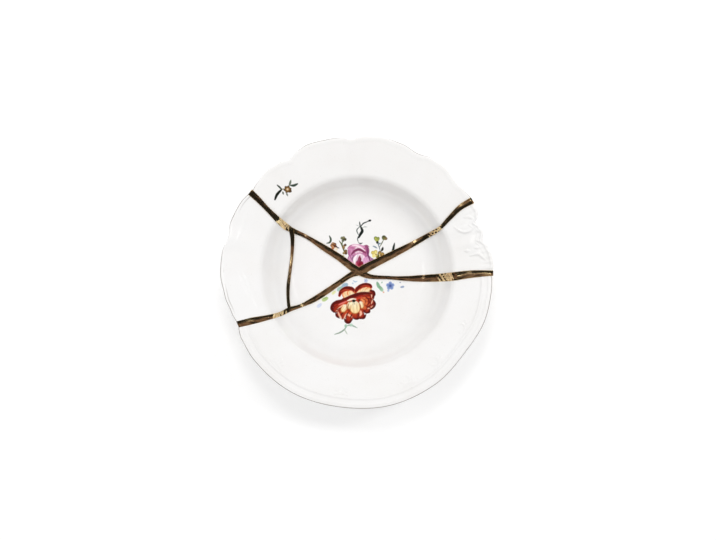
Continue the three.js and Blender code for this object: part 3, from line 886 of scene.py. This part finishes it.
# right cluster: buds, yellow flowers and a slender leaf
stroke([(17.6, 28), (19.2, 24), (20.6, 19)], 1.0, (98, 112, 122))
stroke([(23.4, 29.6), (21.8, 26.6), (20.2, 23.6)], 1.0, (98, 104, 70))
petal((18.2, 27.8), (15.6, 32.6), 3.6, (206, 206, 108), (172, 178, 74), (96, 110, 50))
petal((17.4, 28.2), (19.2, 32.2), 2.8, (196, 196, 96), (120, 132, 60))
petal((23.2, 29.4), (24.2, 33.6), 4.0, (120, 126, 72), (88, 88, 46), (58, 60, 34))
petal((24, 30), (26.8, 31.4), 2.6, (150, 132, 84), (112, 88, 50))
dot((17.9, 27.4), 1.3, (34, 44, 32))
stroke([(18.8, 25.2), (19.6, 26.2), (20.8, 26.8)], 1.4, (120, 138, 154))
stroke([(13.8, 24), (15.6, 23.4), (17.6, 22.2)], 1.5, (132, 146, 158))
stroke([(21.4, 19.6), (22.4, 21.2), (22.8, 23)], 2.2, (30, 36, 24))
petal((16.6, 16.4), (12.4, 19), 3.4, (240, 226, 150), (226, 206, 104), (190, 166, 80))
petal((16.6, 16.6), (16.2, 20.6), 3.2, (248, 238, 170), (232, 214, 116), (196, 172, 84))
petal((16.6, 16), (13.2, 14.6), 3.0, (250, 240, 176), (238, 222, 130))
petal((17, 16), (18.6, 13.4), 3.0, (226, 206, 110), (180, 160, 74), (120, 108, 48))
petal((21, 16), (19.2, 19.4), 3.4, (206, 170, 96), (162, 126, 62), (108, 84, 42))
petal((21, 16), (24, 17.6), 3.4, (224, 188, 112), (178, 140, 72), (120, 88, 44))
petal((21, 15.6), (22.8, 12.8), 3.0, (236, 200, 120), (200, 160, 90), (120, 84, 46))
petal((20.6, 15.8), (18.4, 15.6), 2.6, (250, 236, 190), (240, 216, 150))
dot((16.7, 16.4), 0.8, (176, 138, 52))
dot((21, 16), 0.9, (128, 88, 40))
stroke([(12.6, 17.8), (15, 17.6), (16.6, 16.6)], 0.6, (178, 150, 70), strength=0.7)
stroke([(17.4, 13.2), (18.8, 15.2), (18.2, 17)], 1.6, (88, 88, 36))
stroke([(24.4, 14.4), (26.6, 14.8)], 1.4, (112, 116, 96))
stroke([(30.2, 16), (31.8, 20), (33.2, 26.6)], 2.3, (28, 44, 38))
stroke([(29, 19), (30.4, 18.2), (31.6, 17)], 1.3, (120, 138, 148), strength=0.7)
# sprig on the rim
stroke([(-72.8, 64.8), (-70.9, 69.2), (-66.9, 73.6)], 2.5, (26, 34, 24), tip=0.55)
stroke([(-70.8, 77.5), (-68.6, 75.6), (-66.6, 73.6)], 1.6, (54, 66, 52), tip=0.5)
stroke([(-66.8, 73.9), (-64.4, 74.2)], 0.9, (120, 112, 66))
painted.blossom((-61.7, 73.8), 3.5, 6, 10, (168, 128, 78), (112, 80, 40), (226, 198, 160),
                rim=(70, 48, 24))
petal((-60.6, 73), (-58.2, 71.6), 2.4, (120, 86, 44), (70, 50, 26))
stroke([(-60.2, 77.2), (-59.4, 79.4), (-58.7, 81.8)], 1.9, (108, 118, 102))
stroke([(-58.9, 77.2), (-56.2, 77.2), (-53.0, 78.6)], 2.3, (58, 72, 62), tip=0.5)
stroke([(-65.9, 71.6), (-65.4, 69.4)], 1.7, (98, 104, 92))
stroke([(-62.7, 70.6), (-61.7, 68)], 1.6, (128, 134, 124))
painted.dark_line(RIM_TOP, LIP_LINE, 0.4, 0.8)
painted.finish()
dress(shard_top, glaze("top shard glaze", (0.905, 0.894, 0.884)), "shard_top")

# Right shard: a narrow piece from a rocaille plate, whose lip is cut in deep lobes with raised
# scrolls and shell ribs inside them. Plain white glaze.
RIM_RIGHT = [
    (-2, -0.18), (3.8, 0.05), (8, -0.09), (11.7, -0.42), (14.7, -0.89), (18.4, -0.42),
    (20.8, -0.64), (23.3, -1.00), (25, -0.36), (27.5, -0.06), (30.5, -0.12), (33, -0.24),
]
SCROLL_WIDTH = 4.2 * mm
SCROLL_HEIGHT = 1.0 * mm
FLUTE_DEPTH = 0.9 * mm
FLUTE_LENGTH = 13 * mm
LOBE_BEAD = 0.6 * mm
RIB_HEIGHT = 0.22 * mm
RIBS_ROUND = 150  # shell ribs in a whole turn
SCROLLS = [
    ([(0.789, 25.2), (0.816, 22.2), (0.848, 20.8), (0.888, 20.6), (0.922, 21.4)], 1.0),
    ([(0.885, 27.5), (0.919, 26.5), (0.937, 24.9)], 0.8),
    ([(0.841, 8.7), (0.898, 8.9), (0.940, 6.1)], 1.0),
    ([(0.925, 20.4), (0.945, 18.6)], 0.7),
    ([(0.905, 15.6), (0.925, 14.4)], 0.8),
    ([(0.880, 12.2), (0.915, 11.8)], 0.7),
    ([(0.806, 11.6), (0.835, 11.2)], 0.7),
]


def ridges(at, lines, width, height):
    """Raised lines with round backs, pointed at their ends."""
    lift = np.zeros(len(at))
    for points, share in lines:
        line = smooth_line([(*polar(*p), 0) for p in points], 0.8 * mm)[:, :2]
        near = np.flatnonzero(np.linalg.norm(at[:, :2] - line.mean(axis=0), axis=1) < 22 * mm)
        if not len(near):
            continue
        gap = np.linalg.norm(at[near, None, :2] - line[None], axis=2)
        along = gap.argmin(axis=1) / max(1, len(line) - 1)
        full = 0.55 + 0.45 * np.sin(np.pi * along)
        ridge = height * share * bump(gap.min(axis=1), width * full) * full
        lift[near] = np.maximum(lift[near], ridge)
    return lift


def rocaille(at, radius, degrees):
    """Height of the right shard's scrolls, ribs and lobes above the plain glaze."""
    inset = rim_inset(RIM_RIGHT, radius, degrees)
    offset = rim_offset(RIM_RIGHT, degrees) / SCALLOP_DEPTH
    low, high = -1.0, 0.05
    deep = np.clip((high - offset) / (high - low), 0, 1)
    fade = np.clip(1 - (inset - LIP) / (FLUTE_LENGTH - LIP), 0, 1)
    fade = fade * fade * (3 - 2 * fade)
    bead = LOBE_BEAD * bump(inset - 2.6 * mm, 2.6 * mm)
    second = 0.45 * LOBE_BEAD * bump(inset - 6.4 * mm, 2.4 * mm) * deep
    ribs = RIB_HEIGHT * np.cos(np.radians(degrees) * RIBS_ROUND) * fade * (1 - deep)
    return ridges(at, SCROLLS, SCROLL_WIDTH, SCROLL_HEIGHT) - FLUTE_DEPTH * fade * deep + bead + second + ribs


shard_right = shard_blank("right_shard", RIM_RIGHT)
subdivide_zone(
    shard_right,
    lambda at, radius: (radius > corner_radius)
    & (np.abs(np.degrees(np.arctan2(at[:, 1], at[:, 0])) - 16) < 20),
    1,
)
raise_glaze(shard_right, rocaille)
break_out(shard_right, 0.8, 14)
Enamel(shard_right).finish()
dress(shard_right, glaze("right shard glaze", (0.908, 0.901, 0.893)), "shard_right")

# Bottom shard: the biggest piece, from a plate with a moulded ridge inside its lip, small
#  raised sprays on the rim, a thin dark line along the lip and a red peony in the well.
RIM_BOTTOM = [
    (-158, -0.82), (-150, -0.33), (-140, -0.09), (-120, 0.06), (-97, -0.09), (-75, 0.08),
    (-55, 0), (-37, -0.30), (-20, 0), (-8, -0.09), (0, -0.21),
]
RIDGE_INSET = 9 * mm
RIDGE_WIDTH = 3.6 * mm
RIDGE_HEIGHT = 0.8 * mm
SPRAY_TURNS = (-132, -97.5, -65, -48, -27)  # degrees, middle of each raised spray
SPRAY_HEIGHT = 0.5 * mm
SPRAY_WIDTH = 3 * mm


def spray_lines():
    """The curves of all the raised sprays."""
    lines = []
    for turn in SPRAY_TURNS:
        lines.append(([(0.905, turn - 3.5), (0.89, turn), (0.905, turn + 3.5)], 1.0))
        lines.append(([(0.89, turn), (0.86, turn + 1.2), (0.835, turn)], 0.9))
        lines.append(([(0.88, turn - 2), (0.862, turn - 3.6)], 0.8))
        lines.append(([(0.88, turn + 2), (0.862, turn + 3.6)], 0.8))
    return lines


def mouldings(at, radius, degrees):
    """Height of the bottom shard's ridge, bead and sprays above the plain glaze."""
    inset = rim_inset(RIM_BOTTOM, radius, degrees)
    bead = BEAD_HEIGHT * 1.4 * bump(inset - BEAD_INSET, BEAD_WIDTH)
    ridge = RIDGE_HEIGHT * bump(inset - RIDGE_INSET, RIDGE_WIDTH)
    return np.maximum(ridge, ridges(at, spray_lines(), SPRAY_WIDTH, SPRAY_HEIGHT)) + bead


shard_bottom = shard_blank("bottom_shard", RIM_BOTTOM)
subdivide_zone(
    shard_bottom,
    lambda at, radius: (radius > 96 * mm) & (at[:, 1] < 2 * mm),
    1,
)
raise_glaze(shard_bottom, mouldings)
break_out(shard_bottom, 0.5, -80)

painted = Enamel(shard_bottom)
petal, stroke, dot = painted.petal, painted.stroke, painted.dot
# pale flowers and leaves round the peony
petal((-8.6, -9.6), (-14.2, -13.6), 4.4, (150, 178, 200), (166, 192, 212))
petal((-13.6, -12.6), (-18.2, -16.2), 3.4, (152, 190, 176), (176, 206, 196))
petal((-19.4, -16), (-23, -19.4), 2.8, (220, 226, 160), (234, 234, 184), strength=0.7)
petal((-26.2, -22.2), (-32, -25), 3.6, (168, 196, 120), (196, 214, 150), strength=0.85)
stroke([(-27.4, -21.2), (-29.4, -22.8), (-31.2, -23.4)], 0.8, (134, 160, 92), strength=0.6)
petal((-32, -27.4), (-36.4, -31), 3.4, (206, 216, 238), (216, 222, 240), strength=0.6)
stroke([(-4, -6.8), (-2, -8), (-0.2, -7.4)], 1.5, (176, 196, 216), strength=0.8)
dot((-4.2, -9.4), 0.9, (192, 206, 224), 0.8)
painted.blossom((7.6, -7.0), 2.0, 5, 0, (186, 196, 226), (196, 206, 232), (150, 160, 200), strength=0.8)
petal((17.4, -8), (19.8, -14), 3.0, (124, 168, 134), (150, 190, 160))
petal((19.4, -11.8), (22.8, -16.6), 3.2, (116, 160, 124), (172, 206, 178))
stroke([(21.4, -9.2), (22.4, -8)], 1.3, (146, 184, 160), strength=0.8)
dot((23.4, -17.4), 0.8, (226, 170, 140), 0.8)
painted.blossom((29.4, -11.6), 3.9, 5, 18, (96, 118, 172), (140, 160, 208), (70, 88, 150),
                rim=(150, 168, 210))
petal((28, -14.4), (27.4, -17), 1.8, (150, 168, 208), (176, 190, 220))
stroke([(37.4, -8.4), (39, -8.8)], 1.3, (150, 156, 176), strength=0.8)
petal((38.4, -13), (42, -12.2), 2.0, (132, 150, 182), (158, 174, 200))
# the red peony
CREAM = (252, 234, 200)
SALMON = (246, 182, 150)
MAROON = (104, 18, 7)
petal((-4, -19), (-3.2, -38.5), 25, (206, 74, 34), (166, 44, 18), round_tip=0.5)
petal((5, -18), (4, -34), 18, (206, 74, 34), (166, 44, 18), round_tip=0.5)
# two broad petals at the back, cream below and dark along their tops
for foot, tip, width in (((-5.4, -23), (-11.4, -15.2), 10.5), ((-3.6, -22), (-6.6, -14.6), 8.5),
                         ((0, -22), (4, -12), 10), ((4, -21), (9, -11.6), 9), ((5, -18.6), (12.4, -13.6), 5)):
    petal(foot, tip, width, CREAM, (250, 206, 150), (222, 110, 52))
BACK_EDGES = [
    [(-16.2, -20.4), (-15, -17.4), (-12.4, -15.2), (-8.6, -14), (-4.6, -14.6), (-2.4, -17)],
    [(-1.8, -17), (0.6, -13.8), (4.2, -11.6), (8.2, -10.9), (11.6, -11.6), (12.2, -12.8)],
]
for line in BACK_EDGES:
    stroke(line, 4.3, (178, 46, 18), tip=0.5)
    stroke([(x, y + 0.5) for x, y in line], 3.0, MAROON, tip=0.4)
stroke([(-15.4, -17), (-11.6, -15.2), (-8.2, -14.8)], 1.0, (196, 70, 34), strength=0.7)
stroke([(2.6, -12.4), (6.6, -11.4), (10.4, -11.6)], 1.0, (186, 60, 28), strength=0.7)
stroke([(-3, -16), (-2, -19.4), (-1.8, -22)], 1.0, (204, 104, 54), strength=0.8)
# lobes at the sides and the front, dark at their edges
SIDE_PETALS = [
    ((-10, -26), (-22.8, -29.6), 7.4), ((-11, -29), (-22.6, -34.4), 6.6), ((7, -21), (14.8, -17.6), 5.2),
    ((7, -23.5), (15.2, -21.6), 5), ((7, -26), (15.8, -26.6), 6), ((6, -28.5), (14.4, -31.2), 6),
    ((5, -30.5), (10.6, -35.6), 6.4),
]
FRONT_PETALS = [
    ((-11, -32.6), (-18.6, -38.8), 5.2), ((-9, -34), (-14.6, -41.4), 5), ((0, -34), (5, -41), 7.2),
    ((-3, -35), (-0.8, -41.4), 5.6), ((-6, -35), (-8.2, -44.6), 6.6),
]
for foot, tip, width in SIDE_PETALS + FRONT_PETALS:
    petal(foot, tip, width, (214, 84, 38), (150, 34, 12), MAROON, round_tip=0.56)
EDGES = [
    ([(-18.6, -25.2), (-22.2, -28.6), (-23.2, -32.2), (-21.2, -35.2)], 2.8),
    ([(-19.6, -35.6), (-18.8, -38.6), (-16.2, -40.6)], 1.8),
    ([(-11.8, -40.8), (-10.2, -44), (-7.6, -44.6), (-5.2, -42.2)], 2.4),
    ([(-3.4, -41), (-0.4, -41.4), (2.2, -40.4)], 1.8), ([(2.8, -40.8), (5.6, -40.4), (7.4, -37.6)], 2.2),
    ([(7.8, -35.8), (10.4, -35.2), (11, -33)], 2.0),
    ([(12.6, -32.4), (14.8, -30.2), (15.6, -27.4), (14.4, -24.8)], 2.2),
    ([(11.4, -15.6), (14.2, -16.8), (15.2, -19.4), (13.8, -21.8)], 2.4),
]
for line, width in EDGES:
    stroke(line, width, (92, 13, 5), tip=0.45, strength=0.92)
# lighter folds between the petals
FOLDS = [
    ([(-19.2, -34.2), (-15.4, -30.8), (-12.2, -28.2)], 1.5),
    ([(-17.6, -34.8), (-16.2, -38), (-14.2, -41.2)], 1.5),
    ([(-12.4, -41.4), (-9.4, -37.2), (-5, -39.6)], 1.6), ([(7.4, -32.2), (10.8, -31.6), (13.8, -29.6)], 1.1),
    ([(2.2, -33.6), (3.2, -36.4), (2.4, -38.4)], 2.2), ([(13.4, -23.4), (13.2, -25.6), (12.2, -28)], 1.1),
    ([(-8.6, -37.6), (-6, -39.2)], 1.2), ([(10.6, -17.6), (12.6, -19.6), (12.6, -22)], 1.2),
]
for line, width in FOLDS:
    stroke(line, width, SALMON, strength=0.85)
SEAMS_BETWEEN = [
    [(-10.6, -33.5), (-15.4, -37.8)], [(-8.2, -35), (-10.4, -39.4)], [(-4.6, -36.4), (-6.8, -41)],
    [(0.8, -35), (0.6, -39.4)], [(4.8, -32.4), (8, -36.6)], [(6.6, -28.8), (13, -32)],
    [(-10, -29.4), (-19.6, -33.6)], [(7.4, -24.2), (13.8, -24.2)],
]
for line in SEAMS_BETWEEN:
    stroke(line, 1.2, (84, 12, 5), strength=0.85)
# heart of the flower
for foot, tip, width in (((3, -24), (12.2, -21.4), 5), ((4, -25), (12.6, -24.8), 5),
                         ((4.4, -26.4), (12, -28.6), 5.4),
                         ((3, -28.6), (8.6, -33), 5)):
    petal(foot, tip, width, (240, 150, 92), (196, 70, 30), MAROON)
stroke([(7, -21.4), (9.6, -23.4), (10.4, -26.2), (8.6, -29.4)], 1.5, (116, 22, 8))
stroke([(4.6, -23), (7.2, -25), (6.6, -28)], 0.9, (128, 30, 12), strength=0.8)
stroke([(-20.6, -27.6), (-16, -25.8), (-9.3, -23.2), (-5.2, -21.4), (1, -19.2), (7.2, -18.2), (12.6, -18.8)],
               3.6, (96, 14, 5))
stroke([(-19, -28.6), (-14.6, -26.8), (-10, -24.6), (-5.8, -22.8)], 1.4, (150, 30, 12), strength=0.8)
stroke([(-17, -28.6), (-13.2, -27), (-9.6, -25.4)], 1.3, (228, 118, 110), strength=0.85)
stroke([(-1.2, -22.2), (2.4, -20.9), (6.8, -20.6), (10.4, -21)], 2.0, (158, 32, 14), strength=0.95)
stroke([(-0.6, -23.2), (2.6, -22.4), (5, -22.8)], 1.6, (196, 56, 30), strength=0.9)
stroke([(-9, -25), (-4.8, -23.6), (-1.4, -23.6)], 1.7, (250, 232, 208), strength=0.9)
for foot, tip, width in (
    ((-10, -28.6), (-14.2, -35.4), 5.4), ((2.4, -25.6), (4.6, -32.2), 4.6), ((-6.2, -26), (-8.6, -33), 5),
    ((-3.4, -25), (-1.2, -36.8), 9.8),
):
    petal(foot, tip, width, (251, 242, 216), (249, 214, 150), (170, 84, 34))
stroke([(-7.8, -27.6), (-8.6, -31), (-6.8, -35)], 1.0, (126, 40, 14), strength=0.8)
stroke([(1.4, -26.4), (2.6, -30), (2, -34)], 0.9, (150, 52, 20), strength=0.8)
stroke([(-3.6, -27), (-5.4, -30), (-4.8, -33)], 0.6, (206, 170, 110), strength=0.7)
stroke([(-2.4, -27), (-0.6, -30), (-1.4, -33)], 0.6, (206, 170, 110), strength=0.7)
petal((-1.6, -25), (-5, -25.2), 2.6, (24, 20, 12), (40, 26, 14), round_tip=0.5)
dot((1.4, -24.6), 0.8, (60, 30, 16))
dot((-6.8, -26), 0.7, (126, 150, 84))
stroke([(-3, -26.4), (-2.8, -28.6)], 0.8, (150, 150, 130), strength=0.8)
# grey-green sprig under it
stroke([(-20.6, -55.2), (-16, -53.6), (-11.6, -50.6), (-9.8, -47.6)], 1.5, (146, 164, 146), strength=0.9)
stroke([(-11.6, -50.8), (-10.2, -53.2), (-9, -55.2)], 1.1, (176, 188, 168), strength=0.8)
stroke([(-10, -47.8), (-6.6, -46.8), (-3.4, -47.8), (-0.2, -49.4)], 1.5, (150, 172, 156), strength=0.9)
petal((-10.6, -49.4), (-10.4, -46), 2.6, (150, 186, 160), (172, 204, 182), strength=0.8)
petal((-6.8, -48), (-4.6, -45.6), 2.4, (160, 196, 172), (190, 220, 200), strength=0.7)
painted.dark_line(RIM_BOTTOM, LIP_LINE, 1.0)
painted.finish()
dress(shard_bottom, glaze("bottom shard glaze", (0.905, 0.897, 0.890)), "shard_bottom")

# Left shard: the outer piece at the left, from a plate with a gently lobed lip. White-glazed
#  porcelain with low lines raised on the rim and thin dark lines along the lip.
RIM_LEFT = [
    (140, -0.36), (150, 0.06), (158, 0.09), (165, -0.27), (171, 0.12), (180, 0.15),
    (190, -0.18), (197, -0.52), (204, -0.82),
]
LEFT_LINES = [
    ([(0.83, 180), (0.808, 184), (0.79, 190), (0.777, 199)], 1.0),
    ([(0.865, 181), (0.838, 185), (0.812, 192)], 0.8),
    ([(0.93, 150), (0.905, 158), (0.92, 167)], 0.6),
]
LEFT_LINE_WIDTH = 3 * mm
LEFT_LINE_HEIGHT = 0.5 * mm
INNER_LINE = 2.8 * mm
shard_left = shard_blank("left_shard", RIM_LEFT)
raise_glaze(shard_left, lambda at, radius, degrees: 0.5 * BEAD_HEIGHT * bump(
    rim_inset(RIM_LEFT, radius, degrees) - BEAD_INSET, BEAD_WIDTH)
    + ridges(at, LEFT_LINES, LEFT_LINE_WIDTH, LEFT_LINE_HEIGHT))
break_out(shard_left, 0.85, 175)
painted = Enamel(shard_left)
painted.dark_line(RIM_LEFT, LIP_LINE, 0.75)
painted.dark_line(RIM_LEFT, INNER_LINE, 0.2, 0.6)
painted.finish()
dress(shard_left, glaze("left shard glaze", (0.908, 0.901, 0.895)), "shard_left")

# Wedge: the small triangle of a plate's floor, left of the middle. Porcelain with a plain white
# glaze, broken out of the floor.
shard_wedge = shard_blank("wedge", RIM_LEFT)
break_out(shard_wedge, 0.3, 172)
Enamel(shard_wedge).finish()
dress(shard_wedge, glaze("wedge glaze", (0.907, 0.894, 0.889)), "shard_wedge")
bpy.data.objects.remove(cracks)
bpy.data.objects.remove(blank)

# Gold seam: one network that fills the cracks from front to back. It is filled lacquer laid on
# proud of the glaze, lapping the shards' edges, with a polished gold finish.
SEAM_CROWN = 1.15 * mm
SEAM_LAP = 0.1 * mm  # how far the gold laps over a shard's edge
SEAM_BACK = 0.2 * mm  # how far it stands out below the plate
SEAM_END = 0.7 * mm  # and past the lips
SEAM_STEP = 0.5 * mm
LAP_DEPTH = 0.3 * mm
LAP_ROOT = 0.4 * mm
SIDE_HEIGHT = 0.52  # height of the gold's sides, as a share of its crown
FORM_TOP = 60 * mm
FORM_STEPS = 240
BRIGHT_GOLD = (0.98, 0.77, 0.42)
THIN_GOLD = (0.76, 0.54, 0.31)
BEND_MIDDLE = 79 * mm  # where the gold folds as it goes over the well's corner
BEND_REACH = 5.5 * mm
UNDER_CROWN = 0.93  # the side branches lie a little lower than the main seam
SHOULDER = 0.935  # where the gold's rounded sides start, as a share of its half width
ACROSS = (-SHOULDER, -0.72, -0.5, -0.25, 0, 0.25, 0.5, 0.72, SHOULDER)
FALL = 0.074  # how much the gold falls from its crest to a side
FALL_DIFFERENCE = 0.18  # the share by which the side towards the back falls more
CREST_SHIFT = 0.06  # the crest lies this share of the half width towards the back
BRUSH_MARK = 0.045 * mm  # height of the ridges that the brush left along the gold


def seam_section(crown):
    """Section of the gold: a low crest, steeper on the side that faces the back."""

    def section(x, y, width, north):
        lean = math.hypot(1, float(glaze_slope(math.hypot(x, y))))
        top = float(glaze_height(math.hypot(x, y)))
        half = width / 2 + JOINT_GAP + SEAM_LAP
        inner = width / 2 + JOINT_GAP
        low, shelf = -8 * mm, top - LAP_DEPTH * lean
        ridge = [(half, top + SIDE_HEIGHT * crown * lean)]
        for i, across in enumerate(reversed(ACROSS)):
            from_crest = across - CREST_SHIFT * north
            fall = (FALL + math.copysign(FALL_DIFFERENCE * FALL * north, from_crest)) * abs(from_crest) * half
            mark = BRUSH_MARK * math.sin(0.5 * x / mm + 2.1 * i) * math.sin(0.43 * y / mm + 1.3 * i)
            ridge.append((half * across, top + (crown - fall + mark) * lean))
        ridge.append((-half, top + SIDE_HEIGHT * crown * lean))
        return [(-inner, low), (inner, low), (inner, shelf - LAP_ROOT), (half, shelf), *ridge,
                (-half, shelf), (-inner, shelf - LAP_ROOT)]

    return section


gold_seam = joined([
    rolled_bar("seam_%d" % i, crack_line(points, start, end, SEAM_STEP),
               seam_section(SEAM_CROWN * (1 if i == 0 else UNDER_CROWN)))
    for i, (points, start, end) in enumerate(CRACKS)
])
gold_seam.name = "seam_of_gold"


def casting_form():
    """What the gold may fill: down to the plate's underside, out to each crack's own end."""
    rows = plate_profile()
    lip_start = max(range(len(rows)), key=lambda i: rows[i][0])
    under = [(r, max(z - SEAM_BACK, 0)) for r, z in rows[lip_start + 2:]]
    outline = [(0, FORM_TOP), (RIM_RADIUS, FORM_TOP), (RIM_RADIUS, plate_height - LIP), *under]
    form = turned("casting_form", outline, FORM_STEPS)
    ends = [CRACK_NORTH[0], CRACK_NORTH[-1], CRACK_EAST[-1], CRACK_SOUTH[-1]]

    def to_crack_end(degrees):
        gaps = np.array([np.abs((degrees - end[1] + 180) % 360 - 180) for end in ends])
        reach = np.array([end[0] * RIM_RADIUS + SEAM_END for end in ends])[gaps.argmin(axis=0)]
        return (reach - corner_radius) / RIM_WIDTH

    stretch_rim(form, to_crack_end)
    return form


form = casting_form()
combine(gold_seam, form, "INTERSECT")
bpy.data.objects.remove(form)
bpy.ops.object.shade_smooth_by_angle(angle=math.radians(14))

# Its top isn't quite even, and it lies in folds where it goes over the well's corner.
co, radius, degrees = vertex_places(gold_seam)
upper = co[:, 2] > glaze_height(np.minimum(radius, RIM_RADIUS)) + 0.2 * mm
x_mm, y_mm = co[:, 0] / mm, co[:, 1] / mm
uneven = (
    0.04 * np.sin(x_mm * 0.4 + 1.3 * np.sin(y_mm * 0.3))
    + 0.03 * np.sin(y_mm * 0.5 + x_mm * 0.25)
)
run_down = np.hypot(np.diff(UPPER[:, 0]), np.diff(UPPER[:, 1])).cumsum() / mm
along = np.interp(radius, UPPER[1:, 0], run_down)
on_bend = np.exp(-(((radius - BEND_MIDDLE) / BEND_REACH) ** 2))
across_gold = np.radians(degrees) * radius / mm
folds = on_bend * (
    0.46 * np.sin(along * 1.2 + across_gold * 1.3)
    + 0.36 * np.sin(along * 1.7 - across_gold * 1.5 + 1)
)
lift = np.where(upper, (uneven + folds) * mm, 0)
lean = np.arctan(glaze_slope(radius))
inward = -co[:, :2] / np.maximum(radius, 1e-9)[:, None]
co[:, :2] += inward * (lift * np.sin(lean))[:, None]
co[:, 2] += lift * np.cos(lean)
co[:, 2] = np.maximum(co[:, 2], 0)
set_places(gold_seam, co)


def gold():
    """Polished gold over brown lacquer: brown shows through where it is thin."""
    material = bpy.data.materials.new("seam gold")
    material.use_nodes = True
    tree = material.node_tree
    shader = tree.nodes["Principled BSDF"]
    thin = spread(tree, noise(tree, 55, 4), 0.38, 0.66)
    tree.links.new(blend(tree, thin, BRIGHT_GOLD, THIN_GOLD), shader.inputs["Base Color"])
    rub = noise(tree, 400, 3)
    tree.links.new(spread(tree, rub, start=0.08, end=0.2), shader.inputs["Roughness"])
    shallow_relief(tree, rub, 0.15, 0.1 * mm)
    shader.inputs["Metallic"].default_value = 1.0
    return material


gold_seam.data.materials.clear()
gold_seam.data.materials.append(gold())
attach(gold_seam, "root")
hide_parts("gold_seam")
